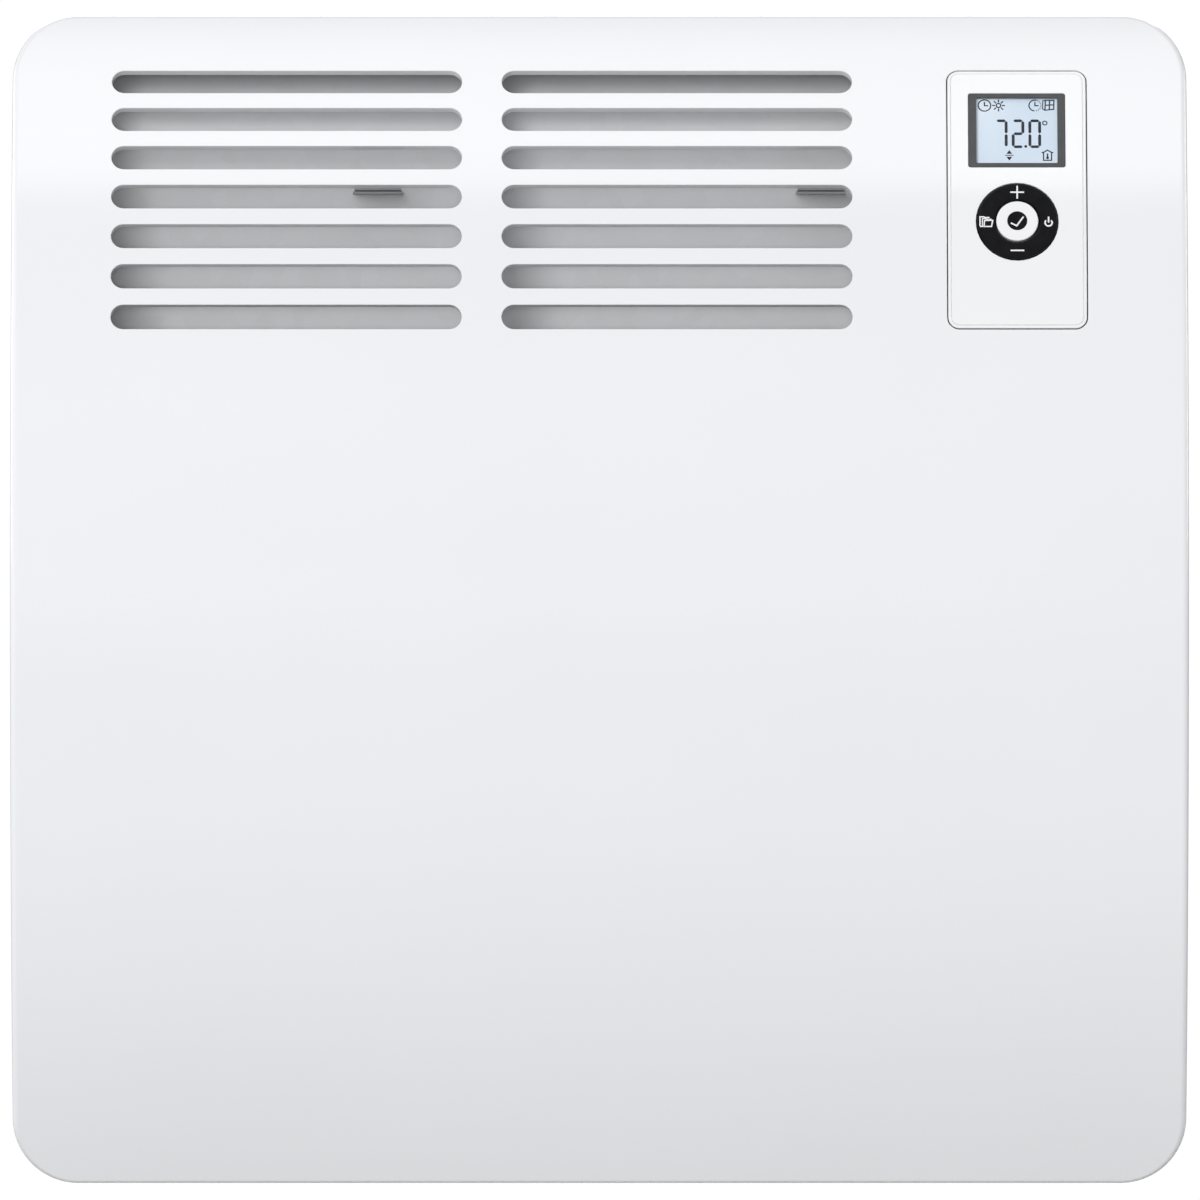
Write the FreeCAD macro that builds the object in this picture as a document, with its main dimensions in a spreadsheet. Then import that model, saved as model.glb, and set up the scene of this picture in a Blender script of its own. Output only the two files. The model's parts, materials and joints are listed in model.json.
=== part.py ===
import FreeCAD, Part
import math
import os
import re
import Sketcher

# Wall-hung electric panel convector, in millimetres.
# The wall is the plane y = 0, the bowed front looks along -Y and +Z is up.
# The origin is the middle of the wall bracket's four screw holes, on the wall.

SIZES = {
    # Bowed front panel
    "panel_width": 470,
    "panel_height": 468,
    "overall_depth": 130,
    "bow_radius": 450,
    "panel_sheet": 1.5,
    "panel_corner": 26,
    "panel_return": 12,
    "panel_edge": 2.5,
    # Outlet slots: two groups side by side, measured along the bow
    "slot_rows": 7,
    "slot_inset": 39.9,
    "slot_gap": 37.9,
    "slot_height": 10,
    "slot_row_height": 16.9,
    "slot_land": 16,
    "slot_drop": 30.7,
    "slot_rim": 2,
    "slot_rim_wall": 1,
    # Clearances
    "sheet_fit": 0.3,
    "pin_fit": 0.1,
    "front_clearance": 1,
    # Casing sheets
    "wall_gap": 20,
    "casing_inset": 12,
    "casing_sheet": 1,
    "casing_flange": 12,
    "bay_width": 104,
    "partition_sheet": 0.8,
    # Stiffening beads and vents in the rear panel
    "bead_x": 60,
    "bead_length": 340,
    "bead_width": 14,
    "bead_depth": 2,
    "vent_length": 48,
    "vent_height": 4,
    "vent_pitch": 10,
    "vent_count": 6,
    "vent_fall": 25,
    "intake_over_buffer": 10,
    # Inlet grille
    "inlet_border": 6.8,
    "inlet_slot_width": 5,
    "inlet_pitch": 9.4,
    "inlet_margin": 20.5,
    # Air guide and heat shield
    "guide_sheet": 0.8,
    "guide_rear": 38,
    "guide_top_inset": 8.5,
    "guide_lean": 14,
    "guide_rake": 26,
    "duct_rise": 71,
    "guide_slope": 58,
    "guide_drop": 14.8,
    "shield_room": 2,
    "shield_sheet": 0.8,
    "shield_drop": 24.8,
    # Hook tabs that carry the front panel
    "hook_left_inset": 33.5,
    "hook_right_inset": 12.3,
    "hook_width": 20,
    "hook_leaf_width": 18.8,
    "hook_leaf": 0.8,
    "hook_slit": 0.5,
    "hook_setback": 5.8,
    "hook_length": 45,
    "hook_row": 3,
    "hook_bend": 3,
    # Heating element
    "element_rise": 116,
    "element_y": -66,
    "element_tube_radius": 4.2,
    "element_bend_radius": 14,
    "element_inset": 26,
    "element_reach": 10,
    "fin_depth": 48,
    "fin_height": 36,
    "fin_sheet": 0.5,
    "fin_pitch": 6.5,
    "fin_margin": 8,
    "holder_inset": 32,
    "holder_stop": 18,
    "holder_sheet": 1,
    "holder_height": 52,
    "holder_foot": 11,
    "bush_radius": 7,
    "bush_collar_radius": 9,
    "bush_collar": 3,
    "stud_radius": 1.5,
    "stud_length": 8,
    "tab_length": 12,
    "tab_width": 6.3,
    "tab_sheet": 0.8,
    # Safety limiter on the partition
    "limiter_radius": 8,
    "limiter_height": 8,
    "limiter_rise": 30,
    "limiter_flange": 30,
    "limiter_flange_sheet": 1,
    "limiter_tab_rise": 6,
    # Control unit, in the frame of the bow
    "control_inset": 68.1,
    "control_width": 56.2,
    "control_gap": 0.4,
    "control_corner": 5,
    "control_bevel": 0.8,
    "fascia_sheet": 3,
    "fascia_proud": 0.3,
    "housing_wall": 2,
    "housing_depth": 30,
    "housing_ear": 10.7,
    "weld_stud_radius": 2,
    "weld_stud_length": 8,
    "weld_stud_side": 36,
    "weld_stud_rise": 40,
    "nut_radius": 4,
    "nut_height": 3.2,
    # Display
    "display_rise": 28.9,
    "bezel_width": 38.7,
    "bezel_height": 32.6,
    "bezel_corner": 1,
    "bezel_front": 0.9,
    "bezel_flange": 2,
    "bezel_flange_sheet": 1.2,
    "screen_width": 32.5,
    "screen_height": 29,
    "screen_rebate": 1,
    "lens_sheet": 1.2,
    "lcd_sheet": 2.8,
    # Key ring, centre key and what carries them
    "nav_fall": 10.8,
    "ring_radius": 16.1,
    "ring_bore": 8.9,
    "ring_gap": 0.45,
    "ring_proud": 0.9,
    "ring_flange_radius": 17.3,
    "ring_flange_front": 3.9,
    "ring_back": 5,
    "ring_round": 0.7,
    "pivot_depth": 7.6,
    "pivot_radius": 0.8,
    "pivot_fit": 0.05,
    "tilt_room": 0.6,
    "gimbal_radius": 14.2,
    "gimbal_bore": 10.2,
    "gimbal_sheet": 2.4,
    "lug_inner": 14.9,
    "lug_width": 4,
    "lug_end": 13.2,
    "post_inner": 18.4,
    "post_sheet": 2.4,
    "post_front": 5.8,
    "rod_width": 1.6,
    "rod_side": 15.6,
    "rod_rise": 3.6,
    "carrier_front": 10.6,
    "carrier_sheet": 1.6,
    "carrier_width": 46,
    "carrier_height": 44,
    "carrier_post_radius": 2.5,
    "carrier_post_side": 20,
    "carrier_post_rise": 17.5,
    "sleeve_radius": 6.2,
    "sleeve_front": 6,
    "key_radius": 8.4,
    "key_proud": 1.1,
    "key_back": 3.4,
    "key_round": 0.6,
    "stem_radius": 4.05,
    "stem_collar_radius": 5.2,
    "stem_collar": 0.6,
    "inlay_radius": 3.95,
    "inlay_depth": 0.8,
    "inlay_proud": 0.1,
    "control_board_front": 15.6,
    "board_sheet": 1.6,
    "control_board_width": 46,
    "control_board_height": 66,
    "switch_width": 6,
    "switch_height": 1.2,
    "switch_cap_radius": 1.6,
    "switch_cap_height": 0.4,
    # Power electronics on the rear panel
    "power_inset": 52,
    "power_rise": 231,
    "power_width": 76,
    "power_height": 96,
    "power_hole_inset": 5,
    "power_hole_low": 18,
    "standoff_radius": 3.5,
    "standoff_height": 8,
    "board_screw_radius": 1.5,
    "board_screw_head": 3,
    "board_screw_cap": 2,
    "board_screw_length": 7,
    "relay_side": 19,
    "relay_fall": 6,
    "relay_width": 22,
    "relay_height": 28,
    "relay_depth": 16,
    "capacitor_side": 15,
    "capacitor_fall": 8,
    "capacitor_width": 18,
    "capacitor_height": 14,
    "capacitor_depth": 15,
    "connector_depth": 10,
    "connector_height": 10,
    "mains_connector_width": 34,
    "mains_inset": 45,
    "element_connector_width": 20,
    "element_lead_pitch": 8,
    "element_lead_rise": 32,
    "element_lead_drop": 12,
    "sensor_connector_width": 6,
    "ribbon_connector_width": 14,
    "terminal_rise": 126,
    "terminal_width": 40,
    "terminal_height": 20,
    "terminal_depth": 18,
    "terminal_pitch": 12,
    "terminal_screw_rise": 5,
    "terminal_screw_radius": 2.5,
    "terminal_screw_cap": 1.2,
    "lead_radius": 1.4,
    "lead_bend": 6,
    "ribbon_width": 12,
    "ribbon_sheet": 1,
    "ribbon_fall": 25,
    "ribbon_run": 36,
    "ribbon_hole": 4,
    "ribbon_rise": 20,
    "sensor_inset": 21,
    "sensor_rise": 25,
    "sensor_radius": 2.5,
    "sensor_length": 22,
    "sensor_lead_radius": 1,
    "clip_width": 10,
    "clip_height": 10,
    "clip_wall": 2,
    # Cable entry and earth
    "grommet_inset": 50,
    "grommet_rise": 71,
    "grommet_bore": 4.8,
    "grommet_waist": 8,
    "grommet_flange": 11,
    "grommet_lip": 3,
    "earth_inset": 72,
    "earth_rise": 71,
    "earth_screw_radius": 2,
    "earth_head_radius": 4,
    "earth_head": 2.6,
    "earth_screw_length": 6,
    # Wall bracket
    "bracket_sheet": 1.5,
    "rail_offset": 2,
    "rail_web": 30,
    "rail_height": 300,
    "bar_z": 95,
    "bar_height": 25,
    "wall_screw_z": 130,
    "wall_screw_radius": 3.25,
    "hang_fall": 118,
    "hang_neck": 10,
    "hang_nose": 10,
    "hang_play": 1,
    "nose_sheet": 4,
    # Drop latches and their pins
    "latch_sheet": 1.5,
    "latch_front": 18,
    "latch_back": 5,
    "latch_foot_z": 95,
    "latch_drop": 8,
    "latch_neck_z": 128,
    "latch_neck": 8,
    "latch_nose": 9,
    "latch_travel": 10,
    "latch_tab": 15,
    "latch_pin_radius": 2,
    "latch_pin_head": 4,
    "latch_pin_cap": 1.2,
    "latch_pin_low_z": 108,
    "latch_pin_high_z": 146,
    # Wall buffers, rivets and casing screws
    "buffer_inset": 53,
    "buffer_rise": 31,
    "buffer_radius": 11,
    "buffer_tip_radius": 9,
    "buffer_stem": 4,
    "buffer_stem_length": 4,
    "rivet_radius": 1.6,
    "rivet_head": 3.2,
    "rivet_cap": 1.1,
    "rivet_inset": 6,
    "rivet_tail": 2.6,
    "rivet_tail_cap": 0.9,
    "rivet_rise": 150,
    "rivet_side": 140,
    "casing_screw_inset": 33,
    "casing_screw_radius": 1.9,
    "casing_screw_head": 3.5,
    "casing_screw_cap": 2.4,
    "casing_screw_length": 9,
    "panel_lug_width": 20,
    "panel_lug_reach": 26,
}

# Places that follow from the sizes
DERIVED = {
    "bow_y": "bow_radius - overall_depth",
    "panel_inner": "bow_radius - panel_sheet",
    "casing_front": "panel_inner - front_clearance",
    "casing_half_x": "panel_width / 2 - casing_inset",
    "casing_half_z": "panel_height / 2 - casing_inset",
    "casing_inner_x": "casing_half_x - casing_sheet",
    "casing_inner_z": "casing_half_z - casing_sheet",
    "rear_front_y": "-wall_gap - casing_sheet",
    "flange_front_y": "-wall_gap - 2 * casing_sheet",
    "flange_half_z": "casing_inner_z - casing_flange - sheet_fit",
    "cover_front_y": "bow_y - sqrt(casing_front ^ 2 - casing_half_z ^ 2)",
    "floor_z": "-casing_inner_z",
    "slot_left_x": "-panel_width / 2 + slot_inset",
    "slot_right_x": "control_x - control_width / 2 - slot_gap",
    "slot_field_x": "(slot_left_x + slot_right_x) / 2",
    "slot_length": "(slot_right_x - slot_left_x - slot_land) / 2",
    "slot_shift": "(slot_length + slot_land) / 2",
    "hook_left_x": "slot_field_x - slot_land / 2 - hook_left_inset",
    "hook_right_x": "slot_right_x - hook_right_inset",
    "panel_top_arc": "bow_radius * (asin(panel_height / 2 / bow_radius) / 1 deg) * pi / 180",
    "slot_low_arc": "panel_top_arc - slot_drop - (slot_rows - 1) * slot_row_height",
    "slot_low_z": "bow_radius * sin(slot_low_arc / bow_radius * 180 / pi)",
    "hook_turn": "(slot_low_arc + hook_row * slot_row_height) / bow_radius * 180 / pi",
    "hook_front": "bow_y - (bow_radius - hook_setback) * cos(hook_turn)",
    "hook_high": "(panel_inner - slot_rim) * sin(hook_turn) + slot_height / 2 * cos(hook_turn) - pin_fit",
    "hook_low": "hook_high - 2 * hook_leaf - hook_slit",
    "control_arc": "slot_low_arc + (slot_rows - 1) / 2 * slot_row_height",
    "control_height": "(slot_rows - 1) * slot_row_height + slot_height",
    "control_x": "panel_width / 2 - control_inset",
    "partition_x": "casing_inner_x - bay_width",
    "inlet_slot_length": "rear_front_y - cover_front_y - 2 * inlet_border",
    "casing_screw_x": "casing_half_x - casing_screw_inset",
    "inlet_count": "floor(2 * (casing_screw_x - inlet_margin) / inlet_pitch)",
    "duct_left": "-casing_inner_x + sheet_fit",
    "duct_right": "partition_x - sheet_fit",
    "duct_foot_z": "floor_z + duct_rise",
    "guide_top_z": "casing_inner_z - sheet_fit",
    "guide_top_y": "cover_front_y + guide_top_inset",
    "guide_throat_y": "guide_top_y - guide_lean",
    "guide_throat_z": "slot_low_z - guide_drop",
    "guide_bend_z": "guide_throat_z - guide_slope",
    "guide_knee_arc": "slot_low_arc + (slot_rows - 1.5) * slot_row_height",
    "guide_knee_z": "bow_radius * sin(guide_knee_arc / bow_radius * 180 / pi)",
    "guide_knee_share": "(guide_knee_z - guide_throat_z) / (guide_top_z - guide_throat_z)",
    "guide_knee_y": "guide_throat_y + guide_lean * guide_knee_share",
    "element_z": "floor_z + element_rise",
    "element_left": "-casing_inner_x + element_inset",
    "element_end": "partition_x + element_reach",
    "holder_left": "-casing_inner_x + holder_inset",
    "holder_right": "partition_x - holder_stop",
    "fin_middle_x": "(holder_left + holder_right + holder_sheet) / 2",
    "fin_count": "floor((holder_right - holder_left - 2 * fin_margin) / fin_pitch)",
    "fin_front_y": "element_y - fin_depth / 2",
    "fin_low_z": "element_z - fin_height / 2",
    "shield_core": "sqrt((bow_y - fin_front_y + shield_room) ^ 2 + fin_low_z ^ 2)",
    "shield_radius": "shield_core + shield_sheet",
    "shield_top_z": "slot_low_z - shield_drop",
    "tube_front_y": "element_y - element_bend_radius",
    "tube_rear_y": "element_y + element_bend_radius",
    "bush_hole": "bush_radius + pin_fit",
    "partition_right": "partition_x + partition_sheet",
    "limiter_z": "element_z + limiter_rise",
    "fascia_front": "bow_radius + fascia_proud",
    "fascia_back": "fascia_front - fascia_sheet",
    "housing_inner_x": "control_width / 2 + sheet_fit",
    "housing_inner_z": "control_height / 2 + sheet_fit",
    "housing_front": "panel_inner - sheet_fit",
    "bezel_seat": "bow_radius - sqrt(fascia_back ^ 2 - (bezel_height / 2 + bezel_flange) ^ 2) + pin_fit",
    "carrier_post_edge": "carrier_post_rise + carrier_post_radius",
    "carrier_seat": "bow_radius - sqrt(fascia_back ^ 2 - carrier_post_edge ^ 2) + pin_fit",
    "lead_x": "element_end + stud_length + tab_length / 2",
    "element_connector_x": "lead_x + element_lead_pitch / 2",
    "lens_width": "screen_width + 2 * screen_rebate",
    "lens_height": "screen_height + 2 * screen_rebate",
    "carrier_back": "carrier_front + carrier_sheet",
    "stem_end": "carrier_back + pin_fit + stem_collar",
    "lug_outer": "ring_flange_radius",
    "board_y": "rear_front_y - standoff_height",
    "board_front_y": "board_y - board_sheet",
    "power_x": "casing_inner_x - power_inset",
    "power_z": "floor_z + power_rise",
    "mains_x": "casing_inner_x - mains_inset",
    "terminal_z": "floor_z + terminal_rise",
    "sensor_x": "casing_inner_x - sensor_inset",
    "sensor_z": "floor_z + sensor_rise",
    "grommet_x": "casing_inner_x - grommet_inset",
    "grommet_z": "floor_z + grommet_rise",
    "earth_x": "casing_inner_x - earth_inset",
    "earth_z": "floor_z + earth_rise",
    "buffer_x": "casing_half_x - buffer_inset",
    "buffer_z": "floor_z + buffer_rise",
    "intake_low_z": "buffer_z + buffer_radius + intake_over_buffer",
    "power_low_z": "power_z - power_height / 2",
    "power_high_z": "power_z + power_height / 2",
    "power_left_x": "power_x - power_width / 2",
    "lead_y": "board_front_y - connector_depth / 2",
    "rail_x": "partition_x + rail_offset",
    "hang_z": "-hang_fall",
    "latch_top_z": "casing_half_z - latch_drop",
    "rail_outer_x": "rail_x + rail_web / 2",
    "rail_flange_x": "rail_outer_x - bracket_sheet",
    "rail_front_y": "-wall_gap + sheet_fit",
    "nose_back_y": "rear_front_y - sheet_fit",
    "nose_front_y": "nose_back_y - nose_sheet",
    "latch_outer_x": "rail_flange_x - sheet_fit",
    "latch_inner_x": "latch_outer_x - latch_sheet",
    "lug_top_z": "-casing_half_z - sheet_fit",
    "lug_low_z": "lug_top_z - panel_sheet",
    "casing_screw_y": "cover_front_y + panel_lug_reach / 2",
}

os.makedirs("parts", exist_ok=True)
doc = FreeCAD.newDocument("convector_heater")
sheet = doc.addObject("Spreadsheet::Sheet", "size")
for row, (alias, number) in enumerate(SIZES.items(), start=1):
    sheet.set(f"A{row}", alias)
    sheet.set(f"B{row}", str(number))
    sheet.setAlias(f"B{row}", alias)
doc.recompute()

X_AXIS = FreeCAD.Vector(1, 0, 0)
Y_AXIS = FreeCAD.Vector(0, 1, 0)
Z_AXIS = FreeCAD.Vector(0, 0, 1)
SAME_RADIUS = 1e-6
nodes = []


def on_sheet(text):
    """The expression with every size and derived place written in cells of the sheet."""

    def written(match):
        word = match.group(0)
        if word in DERIVED:
            return f"({on_sheet(DERIVED[word])})"
        return f"size.{word}" if word in SIZES else word

    return re.sub(r"[a-z_]+", written, str(text))


def value(text):
    return float(sheet.evalExpression(on_sheet(text)))


def bind(obj, **expressions):
    for name, text in expressions.items():
        obj.setExpression(name.replace("__", "."), on_sheet(text))
    return obj


def node(label, obj):
    """Gives a finished sub-part its name."""
    obj.Label = label
    nodes.append(obj)
    return obj


def swing(obj, arc, x="0", y="bow_y"):
    """Turns an object, modelled round the axis of the bow, up along the bow by an arc length."""
    obj.Placement = FreeCAD.Placement(FreeCAD.Vector(), FreeCAD.Rotation(X_AXIS, 1))
    bind(
        obj,
        Placement__Base__x=x,
        Placement__Base__y=y,
        Placement__Rotation__Axis__x="1",
        Placement__Rotation__Axis__y="0",
        Placement__Rotation__Axis__z="0",
        Placement__Rotation__Angle=f"-({arc}) / bow_radius * 180 / pi",
    )
    return obj


def box(name, x, y, z):
    """A box between two places along each axis."""
    obj = doc.addObject("Part::Box", name)
    return bind(
        obj,
        Length=f"({x[1]}) - ({x[0]})",
        Width=f"({y[1]}) - ({y[0]})",
        Height=f"({z[1]}) - ({z[0]})",
        Placement__Base__x=x[0],
        Placement__Base__y=y[0],
        Placement__Base__z=z[0],
    )


TURNS = {
    "x": FreeCAD.Rotation(Y_AXIS, 90),
    "y": FreeCAD.Rotation(X_AXIS, -90),
    "z": FreeCAD.Rotation(Z_AXIS, 0),
}


def rod(name, axis, radius, start, length):
    """A cylinder that runs from its start along an axis."""
    obj = doc.addObject("Part::Cylinder", name)
    obj.Placement.Rotation = TURNS[axis]
    return bind(
        obj,
        Radius=radius,
        Height=length,
        Placement__Base__x=start[0],
        Placement__Base__y=start[1],
        Placement__Base__z=start[2],
    )


def bow(name, radius):
    """A cylinder round the axis of the bow, wider than the heater."""
    return rod(name, "x", radius, ("-panel_width", "bow_y", "0"), "2 * panel_width")


def local_bow(name, radius):
    """The same cylinder in the frame of the bow axis."""
    return rod(name, "x", radius, ("-panel_width", "0", "0"), "2 * panel_width")


def cut(name, base, tool):
    obj = doc.addObject("Part::Cut", name)
    obj.Base = base
    obj.Tool = tool
    return obj


def common(name, base, tool):
    obj = doc.addObject("Part::Common", name)
    obj.Base = base
    obj.Tool = tool
    return obj


def fuse(name, *shapes):
    obj = doc.addObject("Part::MultiFuse", name)
    obj.Shapes = list(shapes)
    return obj


def group(name, shapes):
    """Separate solids in one object."""
    obj = doc.addObject("Part::Compound", name)
    obj.Links = list(shapes)
    return obj


def new_sketch(body, plane, offset):
    sketch = body.newObject("Sketcher::SketchObject", body.Name + "_outline")
    support = [p for p in body.Origin.OriginFeatures if p.Role == plane][0]
    sketch.AttachmentSupport = (support, [""])
    sketch.MapMode = "FlatFace"
    return bind(sketch, AttachmentOffset__Base__z=offset)


def hold(sketch, kind, geometry, point, text):
    """A sketch dimension bound to the sheet."""
    index = sketch.addConstraint(Sketcher.Constraint(kind, geometry, point, value(text)))
    sketch.setExpression(f"Constraints[{index}]", on_sheet(text))


def hold_radius(sketch, geometry, text):
    index = sketch.addConstraint(Sketcher.Constraint("Radius", geometry, value(text)))
    sketch.setExpression(f"Constraints[{index}]", on_sheet(text))


def draw_polygon(sketch, points):
    corners = [FreeCAD.Vector(value(a), value(b), 0) for a, b in points]
    last = len(corners)
    for i, corner in enumerate(corners):
        sketch.addGeometry(Part.LineSegment(corner, corners[(i + 1) % last]))
    for i in range(last):
        sketch.addConstraint(Sketcher.Constraint("Coincident", i, 2, (i + 1) % last, 1))
    for i, (across, up) in enumerate(points):
        hold(sketch, "DistanceX", i, 1, across)
        hold(sketch, "DistanceY", i, 1, up)


def draw_loop(sketch, centres, radius):
    """A closed loop of arcs round the centres, anticlockwise, joined by tangent lines."""
    first = sketch.GeometryCount
    spots = [FreeCAD.Vector(value(a), value(b), 0) for a, b in centres]
    last = len(spots)
    size = value(radius)
    headings = []
    for i, spot in enumerate(spots):
        run = spots[(i + 1) % last] - spot
        headings.append(math.atan2(run.y, run.x))
    for i, spot in enumerate(spots):
        start = headings[i - 1] - math.pi / 2
        end = headings[i] - math.pi / 2
        sketch.addGeometry(Part.ArcOfCircle(Part.Circle(spot, Z_AXIS, size), start, end))
    for i, spot in enumerate(spots):
        turn = headings[i] - math.pi / 2
        side = FreeCAD.Vector(math.cos(turn), math.sin(turn), 0) * size
        sketch.addGeometry(Part.LineSegment(spot + side, spots[(i + 1) % last] + side))
    for i, (across, up) in enumerate(centres):
        line = first + last + i
        hold(sketch, "DistanceX", first + i, 3, across)
        hold(sketch, "DistanceY", first + i, 3, up)
        hold_radius(sketch, first + i, radius)
        sketch.addConstraint(Sketcher.Constraint("Tangent", first + i, 2, line, 1))
        sketch.addConstraint(Sketcher.Constraint("Tangent", line, 2, first + (i + 1) % last, 1))


def rectangle_centres(width, height, radius, x="0", z="0"):
    side = f"(({width}) / 2 - ({radius}))"
    rise = f"(({height}) / 2 - ({radius}))"
    signs = (("-", "-"), ("+", "-"), ("+", "+"), ("-", "+"))
    return [(f"({x}) {a} {side}", f"({z}) {b} {rise}") for a, b in signs]


def slot_centres(length, height, x="0", z="0"):
    side = f"(({length}) - ({height})) / 2"
    return [(f"({x}) - {side}", z), (f"({x}) + {side}", z)]


def pad(body, sketch, length):
    feature = body.newObject("PartDesign::Pad", body.Name + "_pad")
    feature.Profile = sketch
    return bind(feature, Length=length)


def prism(name, plane, points, start, end):
    """A polygon padded between two places along the plane's normal."""
    body = doc.addObject("PartDesign::Body", name)
    sketch = new_sketch(body, plane, start)
    draw_polygon(sketch, points)
    pad(body, sketch, f"({end}) - ({start})")
    return body


def loop_plate(name, loops, back, front):
    """Loops of (centres, radius) padded to the front, between two distances from the wall."""
    body = doc.addObject("PartDesign::Body", name)
    sketch = new_sketch(body, "XZ_Plane", back)
    for centres, radius in loops:
        draw_loop(sketch, centres, radius)
    pad(body, sketch, f"({front}) - ({back})")
    return body


def rounded_plate(name, width, height, radius, back, front, x="0", z="0"):
    loops = [(rectangle_centres(width, height, radius, x, z), radius)]
    return loop_plate(name, loops, back, front)


def turned(name, points):
    """A polygon of (radius, y) turned round the Y axis."""
    body = doc.addObject("PartDesign::Body", name)
    sketch = new_sketch(body, "XY_Plane", "0")
    draw_polygon(sketch, points)
    feature = body.newObject("PartDesign::Revolution", name + "_turn")
    feature.Profile = sketch
    feature.ReferenceAxis = (sketch, ["V_Axis"])
    feature.Angle = 360
    return body


def cylinder_edges(shape, radius):
    """Numbers of the edges round the cylindrical face of a given radius."""
    found = []
    for face in shape.Faces:
        surface = face.Surface
        if surface.TypeId == "Part::GeomCylinder" and abs(surface.Radius - radius) < SAME_RADIUS:
            found.extend(face.Edges)
    return [
        number
        for number, edge in enumerate(shape.Edges, start=1)
        if any(edge.isSame(other) for other in found)
    ]


def eased(kind, name, base, radius_of_face, ease):
    """Rounds or bevels the edges of the bowed face of a shape."""
    doc.recompute()
    obj = doc.addObject(kind, name)
    obj.Base = base
    width = value(ease)
    obj.Edges = [(n, width, width) for n in cylinder_edges(base.Shape, value(radius_of_face))]
    return obj


def mirrored_x(x, side):
    """A range along X on the right, or its mirror image on the left."""
    return x if side > 0 else (f"-({x[1]})", f"-({x[0]})")


def polar(body, original, count, step):
    """Repeats a feature round the body's X axis, each copy a step further up the bow."""
    pattern = body.newObject("PartDesign::PolarPattern", body.Name + "_rows")
    pattern.Originals = [original]
    axis = [a for a in body.Origin.OriginFeatures if a.Role == "X_Axis"][0]
    pattern.Axis = (axis, [""])
    pattern.Reversed = True
    bind(pattern, Occurrences=count, Angle=f"(({count}) - 1) * ({step}) / bow_radius * 180 / pi")
    body.Tip = pattern
    return pattern


def linear(body, original, role, count, pitch):
    pattern = body.newObject("PartDesign::LinearPattern", body.Name + "_row")
    pattern.Originals = [original]
    axis = [a for a in body.Origin.OriginFeatures if a.Role == role][0]
    pattern.Direction = (axis, [""])
    bind(pattern, Occurrences=count, Length=f"(({count}) - 1) * ({pitch})")
    body.Tip = pattern
    return pattern


def slot_tool(name, grow, back, front):
    """All the outlet slots, or their rims, as bars that cross the front panel."""
    length = f"slot_length + 2 * ({grow})"
    height = f"slot_height + 2 * ({grow})"
    radius = f"({height}) / 2"
    body = doc.addObject("PartDesign::Body", name)
    body.AllowCompound = True
    sketch = new_sketch(body, "XZ_Plane", back)
    for side in ("-", "+"):
        centres = slot_centres(length, height, f"slot_field_x {side} slot_shift")
        draw_loop(sketch, centres, radius)
    bars = pad(body, sketch, f"({front}) - ({back})")
    doc.recompute()
    polar(body, bars, "slot_rows", "slot_row_height")
    return swing(body, "slot_low_arc")


def front_panel():
    """Bowed sheet with rounded outline, turned-back edge, rimmed slots, window and lugs."""
    width, height = "panel_width", "panel_height"
    block = rounded_plate("panel_block", width, height, "panel_corner", "0", "2 * overall_depth")
    solid = common("panel_solid", block, bow("panel_face", "bow_radius"))
    band = cut("panel_band", solid, bow("panel_back", "bow_radius - panel_return"))
    rounded = eased("Part::Fillet", "panel_rounded", band, "bow_radius", "panel_edge")
    inset = "panel_corner - panel_sheet"
    hollow = rounded_plate(
        "panel_hollow_block",
        "panel_width - 2 * panel_sheet",
        "panel_height - 2 * panel_sheet",
        inset,
        "0",
        "2 * overall_depth",
    )
    cavity = common("panel_cavity", hollow, bow("panel_inside", "panel_inner"))
    shell = cut("panel_shell", rounded, cavity)
    rims = slot_tool("slot_rims", "slot_rim_wall", "panel_inner - slot_rim", "panel_inner + panel_sheet / 2")
    slots = slot_tool("slot_openings", "0", "panel_inner - 2 * slot_rim", "bow_radius + panel_sheet")
    window = rounded_plate(
        "panel_window",
        "control_width",
        "control_height",
        "control_corner",
        "panel_inner - panel_return",
        "bow_radius + panel_return",
    )
    swing(window, "control_arc", "control_x")
    pieces = [shell, rims]
    for side in ("-", "+"):
        for rise in ("-", "+"):
            stud = rod(
                "weld_stud",
                "y",
                "weld_stud_radius",
                (f"{side}weld_stud_side", "-panel_inner - panel_sheet / 2", "0"),
                "weld_stud_length + panel_sheet / 2",
            )
            turn = group("weld_stud_place", [stud])
            pieces.append(swing(turn, f"control_arc {rise} weld_stud_rise", "control_x"))
    holes = [slots, window]
    for sign in (-1, 1):
        middle = f"{sign} * casing_screw_x"
        plate = box(
            "panel_lug",
            (f"{middle} - panel_lug_width / 2", f"{middle} + panel_lug_width / 2"),
            ("-overall_depth", "cover_front_y + panel_lug_reach"),
            ("lug_low_z", "lug_top_z"),
        )
        pieces.append(common("panel_lug_fit", plate, bow("lug_limit", "bow_radius - panel_sheet / 2")))
        holes.append(
            rod(
                "lug_hole",
                "z",
                "casing_screw_radius + pin_fit",
                (middle, "casing_screw_y", "lug_low_z - panel_sheet"),
                "3 * panel_sheet",
            )
        )
    whole = fuse("panel_whole", *pieces)
    node("front_panel", cut("front_panel", whole, fuse("panel_holes", *holes)))


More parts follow.
